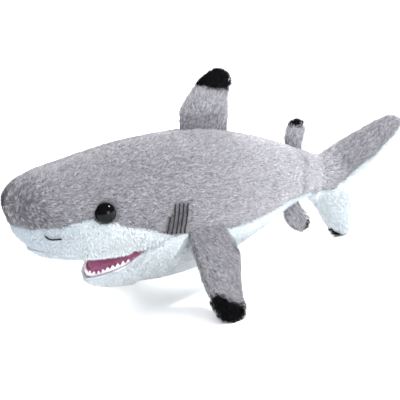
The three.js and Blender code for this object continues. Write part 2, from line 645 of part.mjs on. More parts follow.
add("back_panel_left", "grey_pile", backShell.intersect(bodyHalf(-1)).subtract(eyeRoom));
add("back_panel_right", "grey_pile", backShell.intersect(bodyHalf(1)).subtract(eyeRoom));
add("muzzle_panel", "white_pile", whiteShell.intersect(cheekSide(true)).subtract(eyeRoom));
add("belly_panel", "white_pile", whiteShell.intersect(cheekSide(false)));
add("palate_lining", "pink_lining", trunkSolid(SKIN + BESIDE_TEETH + LIP_SLACK).intersect(palateSlab));
add("trunk_stuffing", "fibre_fill", trunkSolid(SKIN + GAP).intersect(aheadOfTail)
  .subtract(mouthSpace(MOUTH_FABRIC + GAP)).subtract(eyeRoom).subtract(washerRoom));

for (const [hand, side] of [["left", -1], ["right", 1]]) {
  add(`eye_${hand}`, "eye_black", eyeSolid(side, 0));
  add(`eye_washer_${hand}`, "washer_plastic", washerSolid(side, 0));
  add(`gill_stitches_${hand}`, "black_thread", gillStitches(side));
  add(`nostril_stitch_${hand}`, "black_thread", nostrilStitch(side));
  const lip = Array.from({ length: 15 }, (_, k) => {
    const x = 35.5 + (17 * k) / 14;
    const { point, normal } = flank(x, palateHeight(x), side);
    return point.setY(point.y - lipInset / normal.y);
  });
  add(`upper_teeth_${hand}`, "white_felt", teeth(lip, new THREE.Vector3(0, 0, -1), 1.3, 0.4));
}

add("jaw_skin", "white_pile", jawOuter.subtract(jawLining).intersect(jawSpace(0)));
add("mouth_floor_lining", "pink_lining", jawSolid(JAW.skin + BESIDE_TEETH + 0.3).intersect(floorSlab));
add("jaw_stuffing", "fibre_fill", jawSolid(JAW.skin + GAP).intersect(jawSpace(MOUTH_FABRIC + GAP)));
const toothInset = JAW.skin + BESIDE_TEETH / 2;
add("lower_teeth", "white_felt", teeth(
  rimPath(JAW.length - toothInset, JAW.halfWidth - toothInset, rimHeight, -74, 74, 40), rimUp, 1.7, 0.5,
));

for (const [fin, pieces] of Object.entries(finParts)) {
  add(`${fin}_fin_skin`, "grey_pile", pieces.skin);
  add(`${fin}_fin_tip`, "black_pile", pieces.tip);
  add(`${fin}_fin_stuffing`, "fibre_fill", pieces.stuffing);
}

add("tail_panel_left", "grey_pile", setTail(greyTail.intersect(tailHalf(-1)), 0));
add("tail_panel_right", "grey_pile", setTail(greyTail.intersect(tailHalf(1)), 0));
add("tail_under_panel", "white_pile", setTail(whiteTail.subtract(lobeTip(-GAP)), 0));
add("tail_lobe_tip", "black_pile", setTail(whiteTail.intersect(lobeTip(0)), 0));
add("tail_stuffing", "fibre_fill", setTail(tailSolid(FIN_SKIN + GAP), FIN_SKIN + GAP));

// Pitched onto its fins and tail, then centred over the origin on the ground.
toy.rotation.y = degrees(STANCE_PITCH);
const shark = new THREE.Group();
shark.add(toy);
const box = new THREE.Box3().setFromObject(shark, true);
const middle = box.getCenter(new THREE.Vector3());
shark.position.set(-middle.x, -middle.y, -box.min.z);

export default shark;
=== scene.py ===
# %% [markdown]
# # A plush shark, from its sewing pattern to its pile
#
# The toy is short pile fabric, grey on the back and white below, sewn inside out, turned and
# stuffed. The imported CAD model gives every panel, fin, joint and stitch its place. This lesson
# makes the skin that the stuffing fills, cuts it into its panels, and grows the pile on them.

import json
import math

import bmesh
import bpy
import numpy as np
from mathutils import Matrix, Vector
from mathutils.bvhtree import BVHTree
from mathutils.kdtree import KDTree


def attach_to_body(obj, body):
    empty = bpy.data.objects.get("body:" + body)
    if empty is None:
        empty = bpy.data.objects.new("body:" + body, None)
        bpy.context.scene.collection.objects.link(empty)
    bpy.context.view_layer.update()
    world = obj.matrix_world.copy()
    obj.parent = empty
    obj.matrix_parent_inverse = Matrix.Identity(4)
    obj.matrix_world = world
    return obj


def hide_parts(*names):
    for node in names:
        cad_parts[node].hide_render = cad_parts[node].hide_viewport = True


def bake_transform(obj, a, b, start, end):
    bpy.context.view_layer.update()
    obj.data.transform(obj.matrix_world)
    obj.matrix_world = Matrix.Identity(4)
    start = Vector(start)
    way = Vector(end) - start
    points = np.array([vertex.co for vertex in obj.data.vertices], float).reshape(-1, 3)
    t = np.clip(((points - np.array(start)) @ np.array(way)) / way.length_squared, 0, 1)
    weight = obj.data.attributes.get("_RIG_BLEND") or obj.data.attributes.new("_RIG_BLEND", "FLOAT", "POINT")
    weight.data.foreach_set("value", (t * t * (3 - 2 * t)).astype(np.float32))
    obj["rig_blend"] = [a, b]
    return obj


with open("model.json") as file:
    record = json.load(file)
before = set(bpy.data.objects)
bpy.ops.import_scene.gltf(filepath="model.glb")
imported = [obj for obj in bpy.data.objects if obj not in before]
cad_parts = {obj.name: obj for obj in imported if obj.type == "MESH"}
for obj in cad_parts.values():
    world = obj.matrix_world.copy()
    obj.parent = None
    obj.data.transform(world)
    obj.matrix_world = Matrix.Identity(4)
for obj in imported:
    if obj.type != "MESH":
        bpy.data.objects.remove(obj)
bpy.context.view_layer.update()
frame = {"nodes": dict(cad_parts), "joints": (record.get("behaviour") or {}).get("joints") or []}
joints = {joint["name"]: joint for joint in frame["joints"]}
MM = 0.001

# %% [markdown]
# The toy stands nose up on its two front fins and its tail, so its own length and height aren't
# the world's. The tail's hinge pin is the toy's upright, and the jaw's hinge gives a fixed place.
# From these, `spot` turns millimetres measured along, across and up the toy into world places,
# and `toy_place` goes the other way, for deciding what part of the toy a point belongs to.

# %% The toy's own directions
UP = np.array(joints["tail_sway"]["axis"], float)
UP /= np.linalg.norm(UP)
ACROSS = np.array([0.0, 1.0, 0.0])
TAILWARD = np.cross(ACROSS, UP)
JAW_HINGE = np.array(joints["jaw_hinge"]["pos_m"], float)
JAW_HINGE_PLACE = (55.0, 0.0, 19.5)  # along, across, up, in millimetres from the nose
AXES = np.array([TAILWARD, ACROSS, UP])
ORIGIN = JAW_HINGE - MM * np.array(JAW_HINGE_PLACE) @ AXES


def spot(along, across, up):
    return ORIGIN + MM * np.array([along, across, up]) @ AXES


def toy_place(points):
    return (np.asarray(points, float) - ORIGIN) @ AXES.T / MM


print("nose at", spot(0, 0, 40).round(4))

# %% [markdown]
# ## The camera and the light
#
# A long lens looks from the left and a little above, turned with the toy's own pitch so that the
# shark lies level in the picture. A small light above the tail picks out the pile, a big soft one
# behind the right side rounds the back, and a weak one in front opens the shadows under the chin.
# The rest comes from an even white room. A glossy surface sees that room almost black, so the
# eyes stay dark.

# %% Camera
LENS, SENSOR = 150.0, 36.0
VIEW_TURN, VIEW_RISE = math.radians(-32), math.radians(9)
VIEW_DISTANCE = 0.735
VIEW_TARGET = spot(95.4, 0.3, 33.7)


def placed(name, data):
    """A new object with this data, in the scene and unmoved."""
    made = bpy.data.objects.new(name, data)
    bpy.context.scene.collection.objects.link(made)
    return made


back = np.array([
    math.sin(VIEW_TURN) * math.cos(VIEW_RISE),
    -math.cos(VIEW_TURN) * math.cos(VIEW_RISE),
    math.sin(VIEW_RISE),
]) @ AXES
right = np.cross(UP, back)
right /= np.linalg.norm(right)
view_up = np.cross(back, right)
camera = placed("camera", bpy.data.cameras.new("camera"))
camera.data.lens, camera.data.sensor_width = LENS, SENSOR
camera.data.clip_start, camera.data.clip_end = 0.01, 20
turn = Matrix([[right[i], view_up[i], back[i]] for i in range(3)]).to_4x4()
camera.matrix_world = Matrix.Translation(VIEW_TARGET + VIEW_DISTANCE * back) @ turn
bpy.context.scene.camera = camera
bpy.context.scene.view_settings.view_transform = "Standard"


# %% Lights, room and floor
ROOM_LIGHT, ROOM_IN_REFLECTIONS = 1.95, 0.1


def soft_light(name, place, size, power, aim=(0, 0, 0.035)):
    data = bpy.data.lights.new(name, "AREA")
    data.shape, data.size, data.energy = "DISK", size, power
    light = placed(name, data)
    light.location = place
    light.rotation_euler = (Vector(aim) - Vector(place)).to_track_quat("-Z", "Y").to_euler()


soft_light("key_light", (0.55, -0.35, 0.7), 0.16, 11)
soft_light("rear_light", (0.35, 0.75, 0.6), 0.7, 9)
soft_light("front_light", (0.12, -0.76, 0.12), 0.3, 2.2)
world = bpy.data.worlds.new("white_room")
world.use_nodes = True
room_light = world.node_tree.nodes["Background"]
room_light.inputs["Color"].default_value = (0.97, 0.98, 1, 1)
seen_by = world.node_tree.nodes.new("ShaderNodeLightPath")
strength = world.node_tree.nodes.new("ShaderNodeMapRange")
strength.inputs["To Min"].default_value = ROOM_LIGHT
strength.inputs["To Max"].default_value = ROOM_IN_REFLECTIONS
world.node_tree.links.new(seen_by.outputs["Is Glossy Ray"], strength.inputs["Value"])
world.node_tree.links.new(strength.outputs["Result"], room_light.inputs["Strength"])
bpy.context.scene.world = world


def mesh_object(name, points, faces, smooth=True):
    mesh = bpy.data.meshes.new(name)
    mesh.from_pydata([tuple(p) for p in points], [], [tuple(f) for f in faces])
    mesh.polygons.foreach_set("use_smooth", [smooth] * len(mesh.polygons))
    mesh.update()
    return placed(name, mesh)


FLOOR_HALF = 3.0
floor = mesh_object("floor", [
    (-FLOOR_HALF, -FLOOR_HALF, 0), (FLOOR_HALF, -FLOOR_HALF, 0),
    (FLOOR_HALF, FLOOR_HALF, 0), (-FLOOR_HALF, FLOOR_HALF, 0),
], [(0, 1, 2, 3)], smooth=False)

# %% [markdown]
# ## Materials
#
# The knitted ground of the pile fabric, the felt, the brushed lining, the thread and the plastic
# each get their grain from noise on Object coordinates. One shared node group, `fibre_grain`,
# makes the fine and coarse variation they all need. The pile needs no such grain: its fibres are
# real, and each takes one of five plain tints, so the pattern is in the fibres themselves.


# %% The shared grain group
def new_material(name, roughness):
    material = bpy.data.materials.new(name)
    material.use_nodes = True
    shader = material.node_tree.nodes["Principled BSDF"]
    shader.inputs["Roughness"].default_value = roughness
    return material, material.node_tree, shader


COARSE_SHARE = 0.35
grain = bpy.data.node_groups.new("fibre_grain", "ShaderNodeTree")
for name, kind, value in [
    ("Fine Scale", "NodeSocketFloat", 900.0), ("Coarse Scale", "NodeSocketFloat", 90.0),
    ("Dark", "NodeSocketColor", (0.3, 0.3, 0.3, 1)), ("Light", "NodeSocketColor", (0.6, 0.6, 0.6, 1)),
]:
    grain.interface.new_socket(name, in_out="INPUT", socket_type=kind).default_value = value
grain.interface.new_socket("Color", in_out="OUTPUT", socket_type="NodeSocketColor")
grain.interface.new_socket("Height", in_out="OUTPUT", socket_type="NodeSocketFloat")
grain_in = grain.nodes.new("NodeGroupInput")
grain_out = grain.nodes.new("NodeGroupOutput")
place = grain.nodes.new("ShaderNodeTexCoord")
fine = grain.nodes.new("ShaderNodeTexNoise")
coarse = grain.nodes.new("ShaderNodeTexNoise")
share = grain.nodes.new("ShaderNodeMix")
share.data_type = "FLOAT"
share.inputs[0].default_value = COARSE_SHARE
tone = grain.nodes.new("ShaderNodeMix")
tone.data_type = "RGBA"
for noise, scale in [(fine, "Fine Scale"), (coarse, "Coarse Scale")]:
    noise.inputs["Detail"].default_value = 3
    grain.links.new(place.outputs["Object"], noise.inputs["Vector"])
    grain.links.new(grain_in.outputs[scale], noise.inputs["Scale"])
grain.links.new(fine.outputs["Fac"], share.inputs[2])
grain.links.new(coarse.outputs["Fac"], share.inputs[3])
grain.links.new(share.outputs[0], tone.inputs[0])
grain.links.new(grain_in.outputs["Dark"], tone.inputs[6])
grain.links.new(grain_in.outputs["Light"], tone.inputs[7])
grain.links.new(tone.outputs[2], grain_out.inputs["Color"])
grain.links.new(fine.outputs["Fac"], grain_out.inputs["Height"])


# %% Grained finishes
def rgba(value):
    """A colour given as it looks on screen, from 0 to 255, turned into linear light."""
    def linear(v):
        v /= 255
        return v / 12.92 if v <= 0.04045 else ((v + 0.055) / 1.055) ** 2.4
    return (*[linear(v) for v in value], 1)


def add_grain(tree, shader, dark, light, fine_scale, coarse_scale):
    """The shared grain, with this finish's own values, as the base colour."""
    group = tree.nodes.new("ShaderNodeGroup")
    group.node_tree = grain
    group.inputs["Fine Scale"].default_value = fine_scale
    group.inputs["Coarse Scale"].default_value = coarse_scale
    group.inputs["Dark"].default_value = rgba(dark)
    group.inputs["Light"].default_value = rgba(light)
    tree.links.new(group.outputs["Color"], shader.inputs["Base Color"])
    return group


def grained(name, dark, light, roughness, fine_scale, coarse_scale, bump, sheen=0.0):
    material, tree, shader = new_material(name, roughness)
    shader.inputs["Sheen Weight"].default_value = sheen
    group = add_grain(tree, shader, dark, light, fine_scale, coarse_scale)
    raised = tree.nodes.new("ShaderNodeBump")
    raised.inputs["Strength"].default_value = bump
    raised.inputs["Distance"].default_value = 0.5 * MM
    tree.links.new(group.outputs["Height"], raised.inputs["Height"])
    tree.links.new(raised.outputs["Normal"], shader.inputs["Normal"])
    return material


grey_ground = grained("grey_ground", (92, 91, 98), (130, 129, 136), 0.95, 1400, 120, 0.6)
white_ground = grained("white_ground", (196, 207, 216), (228, 236, 243), 0.95, 1400, 120, 0.6)
black_ground = grained("black_ground", (4, 4, 5), (14, 14, 16), 0.9, 1400, 120, 0.6)
pink_brushed = grained("pink_brushed", (196, 110, 156), (232, 154, 194), 0.9, 1100, 160, 0.8, 0.2)
white_felt = grained("white_felt", (226, 226, 228), (252, 252, 252), 0.95, 1800, 300, 0.8)
black_thread = grained("black_thread", (5, 5, 7), (20, 20, 25), 0.8, 2500, 400, 0.5)
washer_plastic = grained("washer_plastic", (214, 214, 208), (236, 236, 230), 0.45, 600, 60, 0.1)
floor_paper = grained("floor_paper", (244, 244, 244), (252, 252, 252), 0.9, 40, 4, 0.02)
floor.data.materials.append(floor_paper)


# %% Pile finishes, each a run of tints from shadow to light
def tints(name, shades, roughness=0.85, sheen=0.25, specular=0.3):
    made = []
    for step, shade in enumerate(shades):
        material, _, shader = new_material(f"{name}_{step}", roughness)
        shader.inputs["Base Color"].default_value = rgba(shade)
        shader.inputs["Sheen Weight"].default_value = sheen
        shader.inputs["Specular IOR Level"].default_value = specular
        made.append(material)
    return made


def ramp(first, last, steps=5):
    return [[a + (b - a) * k / (steps - 1) for a, b in zip(first, last)] for k in range(steps)]


grey_pile = tints("grey_pile", ramp((92, 91, 98), (203, 202, 209)))
white_pile = tints("white_pile", ramp((184, 198, 210), (244, 252, 255)))
black_pile = tints("black_pile", ramp((3, 3, 4), (17, 17, 20)), 0.7, 0.0, 0.06)
pink_nap = tints("pink_nap", ramp((196, 112, 158), (236, 160, 200)))

# %% [markdown]
# ## One smooth skin
#
# The real panels meet in seams, and the stuffing rounds the whole body out. The skin therefore
# starts as one closed surface: copies of the CAD panels and stuffing are grown until they touch,
# the gaps at the throat and the tail hinge are bridged with a hull, and a voxel remesh fuses
# them. The result is smoothed, which takes the facets out of it.

# %% Reading and fusing CAD nodes
SEAM_GROWTH = 0.22 * MM


def node_points(name):
    mesh = frame["nodes"][name].data
    points = np.zeros(len(mesh.vertices) * 3)
    mesh.vertices.foreach_get("co", points)
    return points.reshape(-1, 3)


def fused(name, nodes, voxel, hulls=(), sunk=()):
    """One closed mesh object round copies of CAD nodes, with hulls of points added to bridge gaps.

    Each node in sunk is added after a move of so many millimetres up.
    """
    whole = bmesh.new()
    for node, rise in [(node, 0) for node in nodes] + list(sunk):
        part = bmesh.new()
        part.from_mesh(frame["nodes"][node].data)
        bmesh.ops.remove_doubles(part, verts=part.verts, dist=1e-6)
        part.normal_update()
        for corner in part.verts:
            corner.co += corner.normal * SEAM_GROWTH + Vector(UP) * rise * MM
        held = bpy.data.meshes.new("held")
        part.to_mesh(held)
        part.free()
        whole.from_mesh(held)
        bpy.data.meshes.remove(held)
    for points in hulls:
        added = [whole.verts.new(p) for p in points]
        made = bmesh.ops.convex_hull(whole, input=added)
        loose = made["geom_interior"] + made["geom_unused"]
        spare = {v for v in loose if isinstance(v, bmesh.types.BMVert) and not v.link_faces}
        bmesh.ops.delete(whole, geom=list(spare), context="VERTS")
    bmesh.ops.recalc_face_normals(whole, faces=whole.faces[:])
    mesh = bpy.data.meshes.new(name)
    whole.to_mesh(mesh)
    whole.free()
    made = placed(name, mesh)
    remesh = made.modifiers.new("fuse", "REMESH")
    remesh.mode, remesh.voxel_size = "VOXEL", voxel
    return made


def read_mesh(held):
    """Points and quads of an object as its modifiers make it; the object is removed."""
    result = bpy.data.meshes.new_from_object(held.evaluated_get(bpy.context.evaluated_depsgraph_get()))
    points = np.zeros(len(result.vertices) * 3)
    result.vertices.foreach_get("co", points)
    loops = np.zeros(len(result.loops), int)
    result.loops.foreach_get("vertex_index", loops)
    counts = np.zeros(len(result.polygons), int)
    result.polygons.foreach_get("loop_total", counts)
    assert (counts == 4).all(), "the voxel remesh gives quads"
    bpy.data.objects.remove(held)
    bpy.data.meshes.remove(result)
    return points.reshape(-1, 3), loops.reshape(-1, 4)


# %% Working on points and quads
def edges_of(quads):
    pairs = np.concatenate([quads[:, [0, 1]], quads[:, [1, 2]], quads[:, [2, 3]], quads[:, [3, 0]]])
    return np.unique(np.sort(pairs, axis=1), axis=0)


def neighbour_mean(points, edges):
    total = np.zeros_like(points)
    count = np.zeros(len(points))
    for a, b in [(0, 1), (1, 0)]:
        for axis in range(points.shape[1]):
            total[:, axis] += np.bincount(edges[:, a], points[edges[:, b], axis], len(points))
        count += np.bincount(edges[:, a], minlength=len(points))
    return total / np.maximum(count, 1)[:, None], count


def smoothed(points, edges, rounds, weight=1.0, pull=0.5, push=-0.52):
    """Rounds of smoothing that don't shrink: each pull towards the neighbours is pushed back out."""
    points = points.copy()
    weight = np.broadcast_to(np.asarray(weight, float), len(points))[:, None]
    for _ in range(rounds):
        for step in (pull, push):
            mean, _ = neighbour_mean(points, edges)
            points += step * weight * (mean - points)
    return points


def face_normals(points, quads):
    corner = points[quads]
    return np.cross(corner[:, 2] - corner[:, 0], corner[:, 3] - corner[:, 1]) / 2


def point_normals(points, quads):
    around = face_normals(points, quads)
    total = np.zeros_like(points)
    for k in range(4):
        for axis in range(3):
            total[:, axis] += np.bincount(quads[:, k], around[:, axis], len(points))
    return total / np.maximum(np.linalg.norm(total, axis=1), 1e-12)[:, None]


def biggest_part(points, quads):
    """Drops everything but the largest connected surface."""
    edges = edges_of(quads)
    label = np.arange(len(points))
    while True:
        low = np.minimum(label[edges[:, 0]], label[edges[:, 1]])
        new = label.copy()
        np.minimum.at(new, edges[:, 0], low)
        np.minimum.at(new, edges[:, 1], low)
        new = new[new]
        if (new == label).all():
            break
        label = new
    names, sizes = np.unique(label, return_counts=True)
    keep = label == names[sizes.argmax()]
    index = np.cumsum(keep) - 1
    return points[keep], index[quads[keep[quads[:, 0]]]]


# %% The body's fused surface
BODY_VOXEL = 0.85 * MM
TRUNK_NODES = ["back_panel_left", "back_panel_right", "muzzle_panel", "belly_panel", "palate_lining",
               "trunk_stuffing"]
JAW_NODES = ["jaw_skin", "mouth_floor_lining", "jaw_stuffing"]
TAIL_NODES = ["tail_panel_left", "tail_panel_right", "tail_under_panel", "tail_lobe_tip", "tail_stuffing"]


def between(points, low, high):
    """The points whose distance along the toy lies between two values."""
    along = toy_place(points)[:, 0]
    return points[(along > low) & (along < high)]


# The felt strips fill the slots in the lips, here with their teeth below the rim.
IN_LIPS = [("lower_teeth", -2.2), ("upper_teeth_left", 1.8), ("upper_teeth_right", 1.8)]
# What each bridge takes in: CAD nodes, and from where to where along the toy.
THROAT_BRIDGE = [("belly_panel", 50, 60.5), ("jaw_skin", 52.5, 58)]
THROAT_BRIDGE_TOP = 18.5
HINGE_BRIDGE = [
    ("back_panel_left", 156, 170), ("back_panel_right", 156, 170), ("belly_panel", 156, 170),
    ("tail_panel_left", 150, 166.5), ("tail_panel_right", 150, 166.5), ("tail_under_panel", 150, 166.5),
]


def bridge(spans):
    return np.concatenate([between(node_points(node), low, high) for node, low, high in spans])


throat_hull, hinge_hull = bridge(THROAT_BRIDGE), bridge(HINGE_BRIDGE)
throat_hull = throat_hull[toy_place(throat_hull)[:, 2] < THROAT_BRIDGE_TOP]
body_points, body_quads = biggest_part(*read_mesh(
    fused("body", TRUNK_NODES + JAW_NODES + TAIL_NODES, BODY_VOXEL, [throat_hull, hinge_hull], IN_LIPS)
))
print("body", len(body_points), "points")

# %% [markdown]
# Every face of the skin belongs to the CAD panel it lies nearest to. The grey side panels run on
# into the tail without a seam, so each is one piece that bends at the tail's hinge. The white
# underside is cut in two at mid body, because its front bends with the jaw and its rear with the
# tail; the pile hides that join, as it does on the toy.

# %% Panels of the body
BELLY_SPLIT = 96  # along the toy
PANELS = ["back_left", "back_right", "muzzle", "throat", "belly", "palate", "mouth_floor", "tail_tip"]
PANEL_OF = {
    "back_panel_left": "back_left", "tail_panel_left": "back_left",
    "back_panel_right": "back_right", "tail_panel_right": "back_right",
    "muzzle_panel": "muzzle", "belly_panel": "belly", "tail_under_panel": "belly",
    "jaw_skin": "throat", "palate_lining": "palate", "mouth_floor_lining": "mouth_floor",
    "tail_lobe_tip": "tail_tip",
}


def node_tree_of(name):
    mesh = frame["nodes"][name].data
    faces = [tuple(p.vertices) for p in mesh.polygons]
    return BVHTree.FromPolygons([v.co.copy() for v in mesh.vertices], faces)


def finder_of(places):
    finder = KDTree(len(places))
    for index, place in enumerate(places):
        finder.insert(place, index)
    finder.balance()
    return finder


def gap_to(points, places):
    """How far each point is, in millimetres, from the nearest of some places."""
    finder = finder_of(places)
    return np.array([finder.find(p)[2] for p in points]) / MM


def nearest_node(centres, names):
    """For each point, the index in names of the CAD node that lies nearest."""
    best = np.full(len(centres), 1e9)
    chosen = np.zeros(len(centres), int)
    for index, name in enumerate(names):
        tree = node_tree_of(name)
        gap = np.array([tree.find_nearest(Vector(c))[3] for c in centres])
        closer = gap < best
        best[closer], chosen[closer] = gap[closer], index
    return chosen


def tidied(labels, quads, rounds, kinds):
    """Labels with stray single faces given to the label most of their neighbours have."""
    for _ in range(rounds):
        votes = np.zeros((quads.max() + 1, kinds))
        for k in range(4):
            np.add.at(votes, (quads[:, k], labels), 1)
        labels = votes[quads].sum(axis=1).argmax(axis=1)
    return labels


body_nodes = list(PANEL_OF)
body_centres = body_points[body_quads].mean(axis=1)
near = nearest_node(body_centres, body_nodes)
body_panel = np.array([PANELS.index(PANEL_OF[name]) for name in body_nodes])[near]
in_front = toy_place(body_centres)[:, 0] < BELLY_SPLIT
front_of_belly = (body_panel == PANELS.index("belly")) & in_front
body_panel[front_of_belly] = PANELS.index("throat")
body_panel = tidied(body_panel, body_quads, 3, len(PANELS))
body_facing = face_normals(body_points, body_quads)
body_facing /= np.linalg.norm(body_facing, axis=1)[:, None]
face_along, face_across, face_up = toy_place(body_centres).T
BACKS = [PANELS.index(name) for name in ("back_left", "back_right")]
MUZZLE, THROAT, BELLY = (PANELS.index(name) for name in ("muzzle", "throat", "belly"))
PALATE, FLOOR = (PANELS.index(name) for name in ("palate", "mouth_floor"))
# How near a face lies to the lining or the felt, in millimetres, to become lining itself.
OVER_THE_LIP, ROUND_THE_CORNER, UP_TO_THE_FELT = 2.2, 1.8, 1.0
WHITE_FROM, WHITE_ROWS = 172, 2  # where the tail's white edge begins, and how many faces wide it is


def near_node(chosen, node, reach):
    """The chosen faces that lie within reach of a CAD node."""
    tree = node_tree_of(node)
    kept = chosen.copy()
    for index in np.nonzero(chosen)[0]:
        kept[index] = tree.find_nearest(Vector(body_centres[index]))[3] < reach * MM
    return kept


# The lining turns over the lip, up to the felt, and closes the corner of the mouth.
lip_underside = (body_panel == MUZZLE) & (body_facing @ UP < -0.8) & (face_along < 56)
body_panel[near_node(lip_underside, "palate_lining", OVER_THE_LIP)] = PALATE
corner_wall = np.isin(body_panel, [THROAT, BELLY, MUZZLE]) & (body_facing @ TAILWARD < -0.3)
corner_wall &= (face_along > 46) & (face_along < 58) & (face_up > 11) & (face_up < 20.5)
corner_wall &= np.abs(face_across) < 23
inside = body_centres[np.isin(body_panel, [PALATE, FLOOR])]
corner_wall[corner_wall] = gap_to(body_centres[corner_wall], inside) < ROUND_THE_CORNER
body_panel[corner_wall] = FLOOR
# The lining also comes up to the felt strip in the lower lip.
in_slot = (body_panel == THROAT) & (face_up > 2) & (face_along < 54)
in_slot &= (body_facing @ UP > 0.35) | (body_facing @ TAILWARD > 0.35)
body_panel[near_node(in_slot, "lower_teeth", UP_TO_THE_FELT)] = FLOOR
# The white underside wraps a little way round the tail's edges.
for _ in range(WHITE_ROWS):
    near_white = np.zeros(len(body_points), bool)
    near_white[body_quads[body_panel == BELLY].ravel()] = True
    wraps = near_white[body_quads].any(axis=1) & (face_along > WHITE_FROM) & np.isin(body_panel, BACKS)
    body_panel[wraps] = BELLY
print({name: int((body_panel == i).sum()) for i, name in enumerate(PANELS)})

# %% Smoothing the body, least round the mouth
body_edges = edges_of(body_quads)


def ramp_between(value, low, high):
    """0 up to low, 1 from high, smooth between."""
    t = np.clip((value - low) / (high - low), 0, 1)
    return t * t * (3 - 2 * t)


def border_points(quads, labels, count):
    """True for the points where faces with different labels meet."""
    low, high = np.full(count, 99), np.full(count, -1)
    for k in range(4):
        np.minimum.at(low, quads[:, k], labels)
        np.maximum.at(high, quads[:, k], labels)
    return low != high


def evened_border(points, edges, border, rounds=6):
    """The border between two panels drawn as an even line."""
    along = edges[border[edges[:, 0]] & border[edges[:, 1]]]
    points = points.copy()
    for _ in range(rounds):
        mean, count = neighbour_mean(points, along)
        move = border & (count >= 2)
        points[move] += 0.5 * (mean[move] - points[move])
    return points


MOUTH_MIDDLE = spot(46, 0, 15)
MOUTH_SHAPE = [1, 0.62, 1]  # the mouth is wider than long, so distances across count for less
KEPT_CRISP, FULLY_SMOOTH = 15, 30  # millimetres from the mouth's middle
VOXEL_ROUNDS, FACET_ROUNDS, BORDER_ROUNDS = 5, 34, 3
from_mouth = np.linalg.norm((body_points - MOUTH_MIDDLE) * MOUTH_SHAPE, axis=1) / MM
body_smooth = smoothed(body_points, body_edges, VOXEL_ROUNDS)
body_smooth = smoothed(body_smooth, body_edges, FACET_ROUNDS,
                       ramp_between(from_mouth, KEPT_CRISP, FULLY_SMOOTH))
body_border = border_points(body_quads, body_panel, len(body_points))
body_smooth = evened_border(body_smooth, body_edges, body_border)
body_smooth = smoothed(body_smooth, body_edges, BORDER_ROUNDS)

# %% [markdown]
# ## Filling it
#
# Stuffing pushes the fabric out evenly, and the fabric pulls back where it is curved. That is
# Blender's Cloth with inner pressure. It runs on a coarse copy of the body, ten times the size
# so that the solver's steps suit it, and the skin then takes over how far each part moved.

# %% Cloth with pressure
FILL_SCALE = 10
FILL_PRESSURE = 60.0
FILL_FRAMES = 20
FILL_CAP = 0.9 * MM
FILL_VOXEL = 3 * MM
STILL_AT_MOUTH = 24 * MM
STILL_FROM = 163  # along the toy


def filled(held, keep_still):
    """Rest points of a coarse closed mesh object and how far pressure moves each of them."""
    points, quads = read_mesh(held)
    cloth_object = mesh_object("filling", points * FILL_SCALE, quads)
    still = cloth_object.vertex_groups.new(name="still")
    for index in np.nonzero(keep_still(points))[0]:
        still.add([int(index)], 1.0, "REPLACE")
    cloth = cloth_object.modifiers.new("filling", "CLOTH")
    cloth.settings.quality = 6
    cloth.settings.mass = 0.2
    cloth.settings.tension_stiffness = cloth.settings.compression_stiffness = 12
    cloth.settings.bending_stiffness = 0.4
    cloth.settings.use_pressure = True
    cloth.settings.uniform_pressure_force = FILL_PRESSURE
    cloth.settings.effector_weights.gravity = 0
    cloth.settings.vertex_group_mass = "still"
    cloth.point_cache.frame_start, cloth.point_cache.frame_end = 1, FILL_FRAMES
    scene = bpy.context.scene
    scene.frame_start, scene.frame_end = 1, FILL_FRAMES
    for step in range(1, FILL_FRAMES + 1):
        scene.frame_set(step)
    result = cloth_object.evaluated_get(bpy.context.evaluated_depsgraph_get()).to_mesh()
    swollen = np.zeros(len(points) * 3)
    result.vertices.foreach_get("co", swollen)
    moved = swollen.reshape(-1, 3) / FILL_SCALE - points
    scene.frame_set(1)
    bpy.data.objects.remove(cloth_object)
    return points, moved


def capped(moved, cap):
    length = np.linalg.norm(moved, axis=1)[:, None]
    return moved * np.minimum(1, cap / np.maximum(length, 1e-9))


def taken_over(points, coarse_points, moved, near=6):
    """The movement of a coarse mesh read at other points, as a mean over the nearest few."""
    finder = finder_of(coarse_points)
    result = np.zeros_like(points)
    for index, place in enumerate(points):
        found = finder.find_n(place, near)
        weight = np.array([1 / (f[2] + 0.5 * MM) ** 2 for f in found])
        result[index] = weight @ moved[[f[1] for f in found]] / weight.sum()
    return result


def mouth_and_tail(points):
    """The parts that stitching and linings hold still."""
    at_mouth = np.linalg.norm(points - MOUTH_MIDDLE, axis=1) < STILL_AT_MOUTH
    return at_mouth | (toy_place(points)[:, 0] > STILL_FROM)


body_fill = np.zeros_like(body_smooth)
coarse = fused("coarse_body", TRUNK_NODES + JAW_NODES + TAIL_NODES, FILL_VOXEL, [throat_hull, hinge_hull])
coarse_points, coarse_moved = filled(coarse, mouth_and_tail)
print("filling moved", (np.linalg.norm(coarse_moved, axis=1) / MM).mean().round(2), "mm on average")
body_fill = taken_over(body_smooth, coarse_points, capped(coarse_moved, FILL_CAP))

# %% [markdown]
# The ground of the fabric lies under the pile, so the skin is set in from the CAD surface by the
# pile's height. Each seam draws it in a little further. Then every panel is cut out as a piece of
# its own with the fabric's thickness, and carries three attributes for the pile: `comb`, the way
# it lies; `pile`, how long it is; and `shade`, which tint it takes, with light and shade painted in.

# %% Setting in the skin
PILE_HEIGHT = 1.35 * MM
LINING_SET_IN = 0.15 * MM
SEAM_DEPTH = 0.4 * MM
SEAM_WIDTH = 1.5  # millimetres to either side
FABRIC = 0.6 * MM
RIM_DROP = 1.3 * MM
CHIN_REACH = 1.1 * MM
UNDER_NOSE = 1.0 * MM
JAW_TOP = 19.5  # the height of the jaw's hinge on the toy
RESTING = 1.3 * MM  # how high the ground of the fabric stays above the floor


def spread(values, edges, rounds):
    """Values blended into their neighbours."""
    for _ in range(rounds):
        mean, _ = neighbour_mean(values, edges)
        values = 0.5 * (values + mean)
    return values


